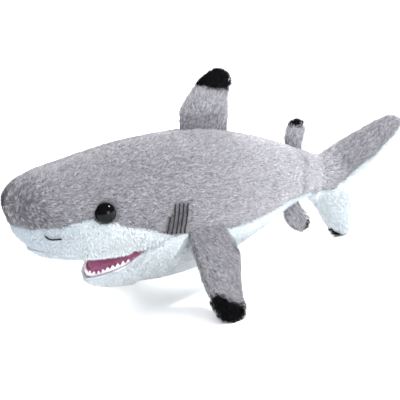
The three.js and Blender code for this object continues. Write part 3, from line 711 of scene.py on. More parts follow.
def share_of(faces, rounds):
    """1 at the points of some faces, fading to 0 over a few rows of points round them."""
    share = np.zeros((len(body_smooth), 1))
    share[body_quads[faces].ravel()] = 1
    return spread(share, body_edges, rounds)[:, 0]


lining = np.isin(body_panel, [PALATE, FLOOR])
is_lining = share_of(lining, 3)
body_skin = body_smooth + body_fill
body_out = point_normals(body_skin, body_quads)
own_seams = body_panel.copy()
own_seams[own_seams == THROAT] = BELLY  # their join is no real seam
seam = border_points(body_quads, own_seams, len(body_skin)) & (is_lining < 0.2)
from_seam = gap_to(body_skin, body_skin[seam])
seam_pull = SEAM_DEPTH * np.exp(-((from_seam / SEAM_WIDTH) ** 2))
toy_along, _, toy_up = toy_place(body_skin).T
lip_border = border_points(body_quads, lining.astype(int), len(body_skin))
from_lips = gap_to(body_skin, body_skin[lip_border])
# The skin lies deepest at the nose, and hardly at all on the thin tail and at the lips.
pile_depth = PILE_HEIGHT * (1.08 - 0.3 * ramp_between(toy_along, 50, 140))
pile_depth *= 1 - 0.75 * ramp_between(toy_along, 160, 176)
pile_depth *= 0.4 + 0.6 * ramp_between(from_lips, 0, 5)
faces_down = ramp_between(-body_out @ UP, 0.3, 0.8)
under_snout = ramp_between(toy_along, 10, 18) - ramp_between(toy_along, 40, 52)
pile_depth *= 1 - 0.6 * faces_down * under_snout
under_nose = (1 - ramp_between(toy_along, 8, 18)) * np.exp(-(((toy_up - 33) / 5) ** 2))
pile_depth += UNDER_NOSE * under_nose
CREASE_STEPS = 12
CREASES = [  # soft folds in the fabric: the line each follows, then its depth and half width
    ([(149.6, -1.6, 47.7), (146, -5.6, 43.8), (144.5, -6.8, 39.7), (146.6, -4.8, 34.9)], 1.1, 2.6),
    ([(150, 18.5, 47), (147.5, 22.5, 42), (149, 20, 35)], 0.8, 2.6),
    ([(121.1, -17.3, 41.6), (121.6, -17, 35)], 0.6, 2.4),
    ([(57, -22.5, 19.8), (64, -23.2, 21.4), (72, -23.5, 21)], 0.7, 1.6),
    ([(57, 22.5, 19.8), (64, 23.2, 21.4), (72, 23.5, 21)], 0.7, 1.6),
]
set_in = pile_depth + (LINING_SET_IN - pile_depth) * is_lining + seam_pull * (1 - is_lining)
# How far each point lies in a fold; the pile's tints below take painted shade from it.
crease_painted_shade = np.zeros(len(body_skin))
for line, depth, width in CREASES:
    steps = np.linspace(0, len(line) - 1, CREASE_STEPS)
    knots = np.array(line)
    places = [spot(*[np.interp(t, range(len(line)), knots[:, k]) for k in range(3)]) for t in steps]
    fold = np.exp(-((gap_to(body_skin, places) / width) ** 2))
    set_in += depth * MM * fold
    crease_painted_shade = np.maximum(crease_painted_shade, fold)
body_skin = body_skin - body_out * set_in[:, None]
# The jaw's rim is drawn down a little by the stitches that hold the teeth.
in_jaw = (toy_along < 56) & (toy_up < JAW_TOP) & (toy_place(body_skin)[:, 2] < JAW_TOP)
rim_drop = RIM_DROP * (1 - ramp_between(from_lips, 0, 4.5)) * (1 - ramp_between(toy_along, 46, 56)) * in_jaw
body_skin -= rim_drop[:, None] * UP
chin = (1 - ramp_between(toy_along, 38, 50)) * (toy_up < JAW_TOP) * (1 - is_lining)
body_skin -= (CHIN_REACH * chin * ramp_between(toy_up, -2, 8))[:, None] * TAILWARD
body_skin[:, 2] = np.maximum(body_skin[:, 2], RESTING)  # the tail's lower tip stands on the floor
body_out = point_normals(body_skin, body_quads)


# %% Cutting out a panel
def along_surface(way, normals):
    """A direction laid along the surface at each point."""
    flat = way - (way * normals).sum(axis=1)[:, None] * normals
    return flat / np.maximum(np.linalg.norm(flat, axis=1), 1e-9)[:, None]


def cut_out(name, points, quads, normals, values, material, thickness=FABRIC, zone=None):
    """A panel of fabric: the faces given, their own thickness behind them, and the edges closed."""
    used, local = np.unique(quads, return_inverse=True)
    local = local.reshape(quads.shape)
    count = len(used)
    outer, inner = points[used], points[used] - thickness * normals[used]
    directed = np.concatenate([local[:, [k, (k + 1) % 4]] for k in range(4)])
    keys = directed[:, 0] * count + directed[:, 1]
    rim = directed[~np.isin(directed[:, 1] * count + directed[:, 0], keys)]
    walls = np.stack([rim[:, 1], rim[:, 0], rim[:, 0] + count, rim[:, 1] + count], axis=1)
    made = mesh_object(name, np.concatenate([outer, inner]),
                       np.concatenate([local, local[:, ::-1] + count, walls]).tolist())
    for key, value in values.items():
        kind = "FLOAT_VECTOR" if value.ndim == 2 else "FLOAT"
        attribute = made.data.attributes.new(key, kind, "POINT")
        field = "vector" if value.ndim == 2 else "value"
        attribute.data.foreach_set(field, np.concatenate([value[used], value[used]]).ravel())
    zones = np.ones(len(local)) if zone is None else zone
    attribute = made.data.attributes.new("zone", "FLOAT", "FACE")
    attribute.data.foreach_set("value", np.concatenate([zones, np.zeros(len(local) + len(walls))]))
    made.data.materials.append(material)
    return made


# %% [markdown]
# ## The pile
#
# A Geometry Nodes tree scatters points over a panel's outside and stands a curved fibre on each,
# combed along the panel and parted here and there by noise, as handled plush is. Each fibre is a
# three-sided spindle with a bend, only six triangles, because there are tens of thousands.

# %% One fibre
def fibre_mesh(name, width=0.3, reach=0.82, rise=0.5):
    """One fibre of unit length that bends over towards +X. Its width is in millimetres."""
    half = width / 2 * MM
    corners = [(math.cos(a), math.sin(a)) for a in (math.pi, -math.pi / 3, math.pi / 3)]
    bend = [(0.4 * reach + half * c * 0.7, half * s * 1.15, 0.68 * rise) for c, s in corners]
    faces = [(0, 2, 1), (0, 3, 2), (0, 1, 3), (1, 2, 4), (2, 3, 4), (3, 1, 4)]
    fibre = mesh_object(name, [(0, 0, 0), *bend, (reach, 0, rise)], faces)
    fibre.hide_render = True
    return fibre


fibre = fibre_mesh("fibre")


# %% The pile tree
SHORTEST = 0.08  # below this share of the full length no fibre grows
STRAY, LEAN = 0.3, 0.22  # how far a fibre strays from the comb and leans from upright
CLUMP_SCALE = 900
TINT_CHANCE = 0.16


def pile_tree(name, finishes):
    tree = bpy.data.node_groups.new(name, "GeometryNodeTree")
    tree.interface.new_socket("Geometry", in_out="INPUT", socket_type="NodeSocketGeometry")
    for label, kind, value in [
        ("Fibre", "NodeSocketObject", None), ("Density", "NodeSocketFloat", 6e6),
        ("Length", "NodeSocketFloat", 0.0026), ("Parting", "NodeSocketFloat", 0.8),
        ("Parting Scale", "NodeSocketFloat", 260.0), ("Lift", "NodeSocketFloat", 0.0),
        ("Zone", "NodeSocketFloat", 1.0), ("Seed", "NodeSocketInt", 1),
    ]:
        socket = tree.interface.new_socket(label, in_out="INPUT", socket_type=kind)
        if value is not None:
            socket.default_value = value
    tree.interface.new_socket("Geometry", in_out="OUTPUT", socket_type="NodeSocketGeometry")
    source, result = tree.nodes.new("NodeGroupInput"), tree.nodes.new("NodeGroupOutput")
    link = tree.links.new

    def add(kind, **settings):
        node = tree.nodes.new(kind)
        for key, value in settings.items():
            setattr(node, key, value)
        return node

    def read(attribute, kind="FLOAT"):
        node = add("GeometryNodeInputNamedAttribute", data_type=kind)
        node.inputs["Name"].default_value = attribute
        return node.outputs["Attribute"]

    def maths(operation, a, b, clamp=False):
        node = add("ShaderNodeMath", operation=operation, use_clamp=clamp)
        for value, socket in [(a, node.inputs[0]), (b, node.inputs[1])]:
            if isinstance(value, (int, float)):
                socket.default_value = value
            else:
                link(value, socket)
        return node.outputs[0]

    def chance(low, high, offset):
        node = add("FunctionNodeRandomValue", data_type="FLOAT")
        node.inputs[2].default_value, node.inputs[3].default_value = low, high
        link(maths("ADD", source.outputs["Seed"], offset), node.inputs["Seed"])
        return node.outputs[1]

    scatter = add("GeometryNodeDistributePointsOnFaces")
    link(source.outputs["Geometry"], scatter.inputs["Mesh"])
    link(source.outputs["Density"], scatter.inputs["Density"])
    link(source.outputs["Seed"], scatter.inputs["Seed"])
    from_zone = maths("ABSOLUTE", maths("SUBTRACT", read("zone"), source.outputs["Zone"]), 0)
    in_zone = maths("LESS_THAN", from_zone, 0.5)
    grown = maths("MULTIPLY", in_zone, maths("GREATER_THAN", read("pile"), SHORTEST))
    link(grown, scatter.inputs["Selection"])

    parting = add("ShaderNodeTexNoise", noise_dimensions="3D")
    parting.inputs["Detail"].default_value = 1.5
    place = add("GeometryNodeInputPosition")
    link(place.outputs[0], parting.inputs["Vector"])
    link(source.outputs["Parting Scale"], parting.inputs["Scale"])
    centred = add("ShaderNodeVectorMath", operation="SUBTRACT")
    link(parting.outputs["Color"], centred.inputs[0])
    centred.inputs[1].default_value = (0.5, 0.5, 0.5)
    strayed = add("ShaderNodeVectorMath", operation="SCALE")
    link(centred.outputs[0], strayed.inputs[0])
    link(maths("MULTIPLY", source.outputs["Parting"], 3.4), strayed.inputs["Scale"])
    lies = add("ShaderNodeVectorMath", operation="ADD")
    link(read("comb", "FLOAT_VECTOR"), lies.inputs[0])
    link(strayed.outputs[0], lies.inputs[1])
    stray = add("FunctionNodeRandomValue", data_type="FLOAT_VECTOR")
    stray.inputs[0].default_value, stray.inputs[1].default_value = (-STRAY,) * 3, (STRAY,) * 3
    link(source.outputs["Seed"], stray.inputs["Seed"])
    own_way = add("ShaderNodeVectorMath", operation="ADD")
    link(lies.outputs[0], own_way.inputs[0])
    link(stray.outputs[0], own_way.inputs[1])

    tilted = add("ShaderNodeVectorMath", operation="ADD")
    link(scatter.outputs["Normal"], tilted.inputs[0])
    lean = add("FunctionNodeRandomValue", data_type="FLOAT_VECTOR")
    lean.inputs[0].default_value, lean.inputs[1].default_value = (-LEAN,) * 3, (LEAN,) * 3
    link(maths("ADD", source.outputs["Seed"], 7), lean.inputs["Seed"])
    link(lean.outputs[0], tilted.inputs[1])
    upright = add("FunctionNodeAlignRotationToVector", axis="Z")
    link(tilted.outputs[0], upright.inputs["Vector"])
    combed = add("FunctionNodeAlignRotationToVector", axis="X", pivot_axis="Z")
    link(upright.outputs[0], combed.inputs["Rotation"])
    link(own_way.outputs[0], combed.inputs["Vector"])

    full_length = maths("MULTIPLY", source.outputs["Length"], read("pile"))
    length = maths("MULTIPLY", full_length, chance(0.72, 1.12, 3))
    height = maths("MULTIPLY", length, maths("ADD", chance(0.85, 1.15, 4), source.outputs["Lift"]))
    size = add("ShaderNodeCombineXYZ")
    link(length, size.inputs[0])
    size.inputs[1].default_value = 1.0
    link(height, size.inputs[2])
    held = add("GeometryNodeObjectInfo")
    link(source.outputs["Fibre"], held.inputs["Object"])
    stand = add("GeometryNodeInstanceOnPoints")
    link(scatter.outputs["Points"], stand.inputs["Points"])
    link(held.outputs["Geometry"], stand.inputs["Instance"])
    link(combed.outputs[0], stand.inputs["Rotation"])
    link(size.outputs[0], stand.inputs["Scale"])

    steps = len(finishes)
    clumps = add("ShaderNodeTexNoise", noise_dimensions="3D")
    clumps.inputs["Scale"].default_value = CLUMP_SCALE
    clumps.inputs["Detail"].default_value = 2.0
    streaks = maths("MULTIPLY", maths("SUBTRACT", clumps.outputs["Fac"], 0.5), read("streak"))
    shade = maths("ADD", read("shade"), streaks)
    one_fibre = chance(-TINT_CHANCE, TINT_CHANCE, 5)
    tint = maths("MULTIPLY", maths("ADD", shade, one_fibre, clamp=True), steps - 0.001)
    mark = add("GeometryNodeStoreNamedAttribute", data_type="FLOAT", domain="INSTANCE")
    mark.inputs["Name"].default_value = "tint"
    link(stand.outputs[0], mark.inputs["Geometry"])
    link(maths("FLOOR", tint, 0), mark.inputs["Value"])
    real = add("GeometryNodeRealizeInstances")
    link(mark.outputs[0], real.inputs[0])
    shown = real.outputs[0]
    for step, finish in enumerate(finishes):
        paint = add("GeometryNodeSetMaterial")
        paint.inputs["Material"].default_value = finish
        same = add("FunctionNodeCompare", data_type="FLOAT", operation="EQUAL")
        link(read("tint"), same.inputs[0])
        same.inputs[1].default_value = float(step)
        same.inputs[12].default_value = 0.1
        link(same.outputs[0], paint.inputs["Selection"])
        link(shown, paint.inputs["Geometry"])
        shown = paint.outputs[0]
    link(shown, result.inputs[0])
    return tree


PILE_ATTRIBUTES = ("comb", "pile", "shade", "streak", "zone", "tint")
PILE_TREES = {
    "grey_pile": pile_tree("grey_pile", grey_pile), "white_pile": pile_tree("white_pile", white_pile),
    "black_pile": pile_tree("black_pile", black_pile), "pink_lining": pile_tree("pink_lining", pink_nap),
}


def grow(panel, finish, seed, density=8.2, length=2.5, parting=0.8, lift=0.0, zone=1):
    """The pile of one panel as a plain mesh. Density is fibres to the square millimetre."""
    tree = PILE_TREES[finish]
    modifier = panel.modifiers.new("pile", "NODES")
    modifier.node_group = tree
    share = 1.0
    given = {"Fibre": fibre, "Density": density * share / MM**2, "Length": length * MM, "Parting": parting,
             "Lift": lift, "Zone": zone, "Seed": seed + 1000 * zone}
    for item in tree.interface.items_tree:
        if item.item_type == "SOCKET" and item.in_out == "INPUT" and item.name in given:
            modifier[item.identifier] = given[item.name]
    shown = panel.evaluated_get(bpy.context.evaluated_depsgraph_get())
    mesh = bpy.data.meshes.new_from_object(shown)
    panel.modifiers.remove(modifier)
    mesh.name = panel.name.replace("_skin", "") + "_pile" + (f"_{zone}" if zone > 1 else "")
    for attribute in [a.name for a in mesh.attributes if a.name in PILE_ATTRIBUTES]:
        mesh.attributes.remove(mesh.attributes[attribute])
    made = placed(mesh.name, mesh)
    print(made.name, len(mesh.polygons) // len(fibre.data.polygons), "fibres")
    return made


# %% [markdown]
# ## The body's panels and their pile
#
# The pile lies from nose to tail on the back and belly, and hangs down over the lips, where the
# fabric was cut the other way. It is shorter round the eyes, along the stitched gills and at the
# lips. Its tints are painted a little darker over the snout, as shade, and lighter towards the tail, as light.

# %% How the pile lies on the body
def shiny_middle(node):
    """Where the axis of a turned CAD node meets its front, and the way it faces."""
    points = node_points(node)
    middle = points.mean(axis=0)
    spread_, ways = np.linalg.eigh(np.cov((points - middle).T))
    odd = 0 if abs(spread_[0] - spread_[1]) > abs(spread_[2] - spread_[1]) else 2
    way = ways[:, odd]
    way = way * np.sign(way[1]) * np.sign(middle[1])
    reach = (points - middle) @ way
    return middle + way * reach.max(), way


eyes = {hand: shiny_middle(f"eye_{hand}") for hand in ("left", "right")}
body_along, _, body_up = toy_place(body_skin).T
EYE_RADIUS = 4.5
EYE_DOME_HEIGHT = 3.6
eye_seats = [front - way * EYE_DOME_HEIGHT * MM for front, way in eyes.values()]
from_eyes = gap_to(body_skin, eye_seats)
gill_points = np.concatenate([node_points(f"gill_stitches_{hand}") for hand in ("left", "right")])
from_gills = gap_to(body_skin, gill_points)

body_comb = np.broadcast_to(TAILWARD, body_skin.shape).copy()
HANGING = 0.35 * TAILWARD - 1.0 * UP  # the way the pile hangs on the lips
in_muzzle = share_of(body_panel == MUZZLE, 6)[:, None]
body_comb = body_comb * (1 - in_muzzle) + HANGING * in_muzzle
# The pile parts in a whorl on each side of the nose, where the panel is eased in.
WHORLS = [spot(2, 8.5 * side, 41.7) for side in (-1, 1)]
WHORL_SIZE = 9
for whorl in WHORLS:
    away = body_skin - whorl
    reach = np.linalg.norm(away, axis=1) / MM
    pull = 1.8 * np.exp(-((reach / WHORL_SIZE) ** 2)) * (1 - np.exp(-((reach / 2) ** 2)))
    body_comb += (away / MM / np.maximum(reach, 0.5)[:, None]) * pull[:, None]
# Below the mouth the pile hangs down from the rim, so that it does not part along it.
in_throat = (body_up < 20) * (1 - ramp_between(body_along, 52, 60))
near_rim = (in_throat * (1 - ramp_between(from_lips, 4, 14)))[:, None]
body_comb = body_comb * (1 - near_rim) + HANGING * near_rim
# On the tail it runs out along each lobe.
lobe_root = spot(170, 8.5, 39)
tail_side = node_points("tail_panel_left")
for tip_at in (tail_side[toy_place(tail_side)[:, 2].argmax()], node_points("tail_lobe_tip").mean(axis=0)):
    lobe = (tip_at - lobe_root) / np.linalg.norm(tip_at - lobe_root)
    along_lobe = (body_skin - lobe_root) @ lobe / MM
    own_lobe = ramp_between(along_lobe, 2, 12)[:, None]
    body_comb = body_comb * (1 - own_lobe) + lobe * own_lobe
body_comb = along_surface(body_comb, body_out)
body_pile = np.ones(len(body_skin))
body_pile *= 0.35 + 0.65 * ramp_between(from_eyes, EYE_RADIUS - 0.5, EYE_RADIUS + 2.5)
body_pile *= (from_eyes > EYE_RADIUS - 0.7)
body_pile *= 0.55 + 0.45 * ramp_between(from_gills, 0.6, 2.5)
body_pile *= 0.45 + 0.55 * ramp_between(from_lips, 0, 4)
body_pile *= 0.8 + 0.2 * ramp_between(from_seam, 0, 2)
NEAR_FLOOR = 2 * MM
body_pile *= np.where((body_skin[:, 2] < NEAR_FLOOR) & (body_out[:, 2] < -0.4), 0.45, 1)
# Shades run from 0, the darkest tint, to 1. The grey is painted lighter towards the tail, where more light
# falls, and darker at the nose whorls and in the creases, as painted shade. It is darker on the lobes too.
body_tone_and_painted_shading = 0.46 + 0.25 * ramp_between(body_along, 50, 150)
from_whorls = gap_to(body_skin, WHORLS)
body_tone_and_painted_shading -= 0.22 * np.exp(-((from_whorls / WHORL_SIZE) ** 2))
body_tone_and_painted_shading -= 0.22 * ramp_between(body_along, 168, 178)
body_tone_and_painted_shading -= 0.2 * crease_painted_shade
# The white is painted darker at the snout, under the belly and in the creases, as shade, and painted
# lighter at the throat and on the tail, as light.
white_tone_and_painted_shading = 0.36 + 0.4 * ramp_between(body_along, 8, 36) - 0.25 * crease_painted_shade
white_tone_and_painted_shading += 0.12 * ramp_between(body_along, 60, 80) - 0.3 * ramp_between(body_along, 84, 104)
white_tone_and_painted_shading += 0.14 * ramp_between(body_along, 150, 165)
body_streak = 0.7 + 2.2 * np.exp(-((from_whorls / 12) ** 2))
body_values = {"comb": body_comb, "pile": body_pile, "shade": body_tone_and_painted_shading, "streak": body_streak}
WHITE_VALUES = {"shade": white_tone_and_painted_shading, "streak": np.full(len(body_skin), 0.4)}

# %% Cut out the body's panels and grow their pile
ZONES = [58, 98]  # where the pile of a long side panel is divided, along the toy
# name: finish, ground, bodies, CAD nodes stood for
BODY_PIECES = {
    "back_left": ("grey_pile", grey_ground, ("torso", "tail"),
                  ["back_panel_left", "tail_panel_left", "trunk_stuffing"]),
    "back_right": ("grey_pile", grey_ground, ("torso", "tail"),
                   ["back_panel_right", "tail_panel_right", "tail_stuffing"]),
    "muzzle": ("white_pile", white_ground, ("torso",), ["muzzle_panel"]),
    "throat": ("white_pile", white_ground, ("torso", "jaw"), ["jaw_skin", "jaw_stuffing"]),
    "belly": ("white_pile", white_ground, ("torso", "tail"), ["belly_panel", "tail_under_panel"]),
    "palate": ("pink_lining", pink_brushed, ("torso",), ["palate_lining"]),
    "mouth_floor": ("pink_lining", pink_brushed, ("torso", "jaw"), ["mouth_floor_lining"]),
    "tail_tip": ("black_pile", black_ground, ("tail",), ["tail_lobe_tip"]),
}
# where a piece begins and stops bending, along the toy
BENDS = {"jaw": (spot(61, 0, 19.5), spot(49, 0, 19.5)), "tail": (spot(154, 9.5, 39), spot(171, 8.5, 39))}


def attach(piece, bodies):
    if len(bodies) == 1:
        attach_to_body(piece, bodies[0])
    else:
        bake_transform(piece, *bodies, *BENDS[bodies[1]])


for seed, (name, (finish, ground, bodies, nodes)) in enumerate(BODY_PIECES.items()):
    own = body_panel == PANELS.index(name)
    zone = 1.0 + np.digitize(face_along[own], ZONES) if name.startswith("back") else np.ones(own.sum())
    values = body_values | WHITE_VALUES if finish == "white_pile" else body_values
    skin = cut_out(f"{name}_skin", body_skin, body_quads[own], body_out, values, ground, zone=zone)
    nap = dict(density=9, length=0.8, lift=0.4, parting=0.5) if finish == "pink_lining" else {}
    piles = [grow(skin, finish, 11 * seed + 3, zone=part, **nap) for part in range(1, 1 + int(zone.max()))]
    for piece in (skin, *piles):
        attach(piece, bodies)
    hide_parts(*nodes)

# %% [markdown]
# ## The fins
#
# Each fin is a flat bag, turned, lightly stuffed and sewn into the body, with a black cap of
# pile on its tip. The skin is fused and smoothed like the body's. Its root is drawn down into
# the body, so that it stays joined when the fin folds over, and there it bends with the body.

# %% Make a fin
FIN_VOXEL = 0.6 * MM
FIN_PILE_HEIGHT = 0.75 * MM
ROOT_DEPTH = 5.5 * MM
FORWARD = {"pectoral_left": 0.8, "pectoral_right": 0.8, "pelvic_left": 1.1}  # how far the fins hang forward
NARROW_EDGE = 2.4
FIN_FABRIC = 0.4 * MM
FIN_SWEEP = 0.15
# The dorsal fins take lighter tints than the others: painted light on the top of the toy.
FIN_SHADE, DORSAL_SHADE = 0.62, 0.68
FIN_PARTS = [  # label, ground and finish, then the pile's length, lift and parting
    ("skin", grey_ground, "grey_pile", 2.2, 0.0, 0.7),
    ("tip", black_ground, "black_pile", 2.2 * 1.28, 0.38, 1.1),
]
joint_of = {joint["child"]: joint for joint in frame["joints"]}
body_tree = BVHTree.FromPolygons(body_smooth.tolist(), body_quads.tolist())


def over_body(points):
    """How far each point stands out of the body's outer surface, in millimetres."""
    found = [body_tree.find_nearest(Vector(p)) for p in points]
    return np.array([(Vector(p) - f[0]).dot(f[1]) for p, f in zip(points, found)]) / MM


def fin(name, seed):
    skin_node, tip_node, stuffing = (f"{name}_fin_{part}" for part in ("skin", "tip", "stuffing"))
    points, quads = biggest_part(*read_mesh(fused(name, [skin_node, tip_node, stuffing], FIN_VOXEL)))
    edges = edges_of(quads)
    centres = points[quads].mean(axis=1)
    part = nearest_node(centres, [skin_node, tip_node])
    if name == "second_dorsal":  # its black is a narrow edge only
        height = toy_place(centres)[:, 2]
        part[height < height.max() - NARROW_EDGE] = 0
    part = tidied(part, quads, 3, 2)
    points = smoothed(points, edges, 12)
    border = border_points(quads, part, len(points))
    points = evened_border(points, edges, border)
    joint = joint_of[f"{name}_fin"]
    pin, hinge = np.array(joint["pos_m"]), np.array(joint["axis"])
    out = node_points(tip_node).mean(axis=0) - pin
    out -= hinge * (out @ hinge) / (hinge @ hinge)
    out /= np.linalg.norm(out)
    normals = point_normals(points, quads)
    skin = points - FIN_PILE_HEIGHT * normals
    height = (points - pin) @ out / MM
    clear = over_body(points)
    rooted = (1 - ramp_between(clear, 1.6, 3.4)) * (1 - ramp_between(height, 3, 6))
    skin -= ROOT_DEPTH * rooted[:, None] * out
    skin -= FORWARD.get(name, 0) * MM * ramp_between(height, 2, 14)[:, None] * TAILWARD
    skin[:, 2] = np.maximum(skin[:, 2], RESTING)  # pressed flat where it stands on the floor
    normals = point_normals(skin, quads)
    free = over_body(skin)
    comb = along_surface(np.broadcast_to(out + FIN_SWEEP * TAILWARD, skin.shape), normals)
    pile = np.where(free > -0.8, 0.6 + 0.4 * ramp_between(free, 0, 3), 0.0)
    pile *= np.where((skin[:, 2] < NEAR_FLOOR) & (normals[:, 2] < -0.3), 0.25, 1)
    shade = DORSAL_SHADE if "dorsal" in name else FIN_SHADE
    values = {"comb": comb, "pile": pile, "shade": np.full(len(skin), shade), "streak": np.ones(len(skin))}
    bend = (pin - 0.5 * MM * out, pin + 5 * MM * out)
    for index, (label, ground, finish, length, lift, parting) in enumerate(FIN_PARTS):
        panel = cut_out(f"{name}_fin_{label}", skin, quads[part == index], normals, values, ground, FIN_FABRIC)
        made = grow(panel, finish, seed + index, length=length, lift=lift, parting=parting)
        for piece in (panel, made):
            if index == 0:
                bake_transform(piece, "torso", f"{name}_fin", *bend)
            else:
                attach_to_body(piece, f"{name}_fin")
        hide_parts(*([skin_node, stuffing] if index == 0 else [tip_node]))


# %% The six fins
for seed, name in enumerate(["dorsal", "second_dorsal", "pectoral_left", "pectoral_right", "pelvic_left",
                             "pelvic_right"]):
    fin(name, 200 + 10 * seed)

# %% [markdown]
# ## The eyes
#
# A safety eye is one moulding: a polished black dome with a post behind, pushed through the
# fabric and locked by a washer. It is a turned shape, so it is a profile spun about its axis.

# %% The eye mouldings
def between_rings(rows, sides):
    """The faces between rings of points, each ring with so many sides."""
    rings = [[(ring * sides + k, ring * sides + (k + 1) % sides) for k in range(sides)] for ring in range(rows)]
    return [(a, b, b + sides, a + sides) for ring in rings for a, b in ring]


def closed_shell(made, merge=0.0):
    """Merges points that meet, where asked, and turns the faces outwards."""
    shell = bmesh.new()
    shell.from_mesh(made.data)
    if merge:
        bmesh.ops.remove_doubles(shell, verts=shell.verts, dist=merge)
    bmesh.ops.recalc_face_normals(shell, faces=shell.faces)
    shell.to_mesh(made.data)
    shell.free()
    return made


def turned(name, profile, front, way, sides=56):
    """A profile of (radius, height behind the front) in millimetres spun about the eye's axis."""
    side = np.cross(way, UP)
    side /= np.linalg.norm(side)
    other = np.cross(way, side)
    points = []
    for radius, depth in profile:
        for k in range(sides):
            a = 2 * math.pi * k / sides
            points.append(front + MM * (radius * (math.cos(a) * side + math.sin(a) * other) - depth * way))
    return closed_shell(mesh_object(name, points, between_rings(len(profile) - 1, sides)), 1e-7)


eye_black, eye_tree, eye_shader = new_material("eye_black", 0.06)
eye_shader.inputs["Specular IOR Level"].default_value = 0.12
eye_grain = add_grain(eye_tree, eye_shader, (3, 3, 4), (12, 11, 12), 500, 90)
eye_polish = eye_tree.nodes.new("ShaderNodeMapRange")
eye_polish.inputs["To Min"].default_value, eye_polish.inputs["To Max"].default_value = 0.04, 0.1
eye_tree.links.new(eye_grain.outputs["Height"], eye_polish.inputs["Value"])
eye_tree.links.new(eye_polish.outputs["Result"], eye_shader.inputs["Roughness"])
DOME = [(EYE_RADIUS * math.sin(a), 3.3 * (1 - math.cos(a))) for a in np.linspace(0, math.pi / 2, 14)]
EYE_PROFILE = [*DOME, (EYE_RADIUS, 3.8), (EYE_RADIUS - 0.2, 4.3), (EYE_RADIUS - 0.9, 4.9), (1.6, 5.4),
               (1.6, 12.2), (1.2, 12.6), (0, 12.6)]
for hand, (front, way) in eyes.items():
    eye = turned(f"eye_{hand}_moulding", EYE_PROFILE, front, way)
    eye.data.materials.append(eye_black)
    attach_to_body(eye, "torso")
    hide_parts(f"eye_{hand}")

# %% [markdown]
# ## Embroidery
#
# The gill slits and nostrils are lines of thick black thread. A Geometry Nodes tree sets one
# short stitch after another along each line, each a little askew, so they lie like back stitch.

# %% One stitch and the stitching tree
def stitch_mesh(name, length=1.4, thick=0.72, sides=8, rings=6):
    points = []
    for ring in range(rings + 1):
        a = math.pi * ring / rings
        for k in range(sides):
            b = 2 * math.pi * k / sides
            points.append((0.5 * length * MM * -math.cos(a), 0.5 * thick * MM * math.sin(a) * math.cos(b),
                           0.5 * thick * MM * math.sin(a) * math.sin(b)))
    made = closed_shell(mesh_object(name, points, between_rings(rings, sides)), 1e-8)
    made.hide_render = True
    return made


stitch = stitch_mesh("stitch")
stitching = bpy.data.node_groups.new("stitching", "GeometryNodeTree")
stitching.interface.new_socket("Geometry", in_out="INPUT", socket_type="NodeSocketGeometry")
stitching.interface.new_socket("Stitch", in_out="INPUT", socket_type="NodeSocketObject")
for label, value in [("Stitch Spacing", 0.001), ("Askew", 0.35)]:
    stitching.interface.new_socket(label, in_out="INPUT", socket_type="NodeSocketFloat").default_value = value
stitching.interface.new_socket("Geometry", in_out="OUTPUT", socket_type="NodeSocketGeometry")
line_in, line_out = stitching.nodes.new("NodeGroupInput"), stitching.nodes.new("NodeGroupOutput")
even = stitching.nodes.new("GeometryNodeResampleCurve")
even.mode = "LENGTH"
tangent = stitching.nodes.new("GeometryNodeInputTangent")
facing = stitching.nodes.new("FunctionNodeAlignRotationToVector")
facing.axis = "X"
wobble = stitching.nodes.new("FunctionNodeRandomValue")
wobble.data_type = "FLOAT_VECTOR"
wobble.inputs["Seed"].default_value = 5
set_stitch = stitching.nodes.new("GeometryNodeInstanceOnPoints")
stitch_source = stitching.nodes.new("GeometryNodeObjectInfo")
real_stitches = stitching.nodes.new("GeometryNodeRealizeInstances")
dyed = stitching.nodes.new("GeometryNodeSetMaterial")
dyed.inputs["Material"].default_value = black_thread
wobble.inputs[0].default_value, wobble.inputs[1].default_value = (-1, -1, -1), (1, 1, 1)
strewn = stitching.nodes.new("ShaderNodeVectorMath")
strewn.operation = "SCALE"
headed = stitching.nodes.new("ShaderNodeVectorMath")
headed.operation = "ADD"
for a, b in [
    (line_in.outputs["Geometry"], even.inputs["Curve"]), (line_in.outputs["Stitch Spacing"], even.inputs["Length"]),
    (wobble.outputs[0], strewn.inputs[0]), (line_in.outputs["Askew"], strewn.inputs["Scale"]),
    (tangent.outputs[0], headed.inputs[0]), (strewn.outputs[0], headed.inputs[1]),
    (headed.outputs[0], facing.inputs["Vector"]), (even.outputs[0], set_stitch.inputs["Points"]),
    (facing.outputs[0], set_stitch.inputs["Rotation"]), (line_in.outputs["Stitch"], stitch_source.inputs["Object"]),
    (stitch_source.outputs["Geometry"], set_stitch.inputs["Instance"]),
    (set_stitch.outputs[0], real_stitches.inputs[0]), (real_stitches.outputs[0], dyed.inputs["Geometry"]),
    (dyed.outputs[0], line_out.inputs[0]),
]:
    stitching.links.new(a, b)

skin_tree = BVHTree.FromPolygons(body_skin.tolist(), body_quads.tolist())


def on_flank(along, up, side, lift):
    """The place on the left (-1) or right (+1) flank, lifted off the fabric by so many millimetres."""
    hit, normal, _, _ = skin_tree.ray_cast(Vector(spot(along, side * 60, up)), Vector(-side * ACROSS))
    return hit + normal * lift * MM


def embroidered(name, lines, spacing=1.0):
    """Stitches along lines of places, as one plain mesh."""
    curve = bpy.data.curves.new(name, "CURVE")
    curve.dimensions = "3D"
    for places in lines:
        spline = curve.splines.new("POLY")
        spline.points.add(len(places) - 1)
        spline.points.foreach_set("co", [v for p in places for v in (*p, 1)])
    held = placed(name, curve)
    modifier = held.modifiers.new("stitching", "NODES")
    modifier.node_group = stitching
    for item in stitching.interface.items_tree:
        if item.name == "Stitch":
            modifier[item.identifier] = stitch
        if item.name == "Stitch Spacing":
            modifier[item.identifier] = spacing * MM
    mesh = bpy.data.meshes.new_from_object(held.evaluated_get(bpy.context.evaluated_depsgraph_get()))
    bpy.data.objects.remove(held)
    made = placed(name, mesh)
    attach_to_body(made, "torso")
    return made


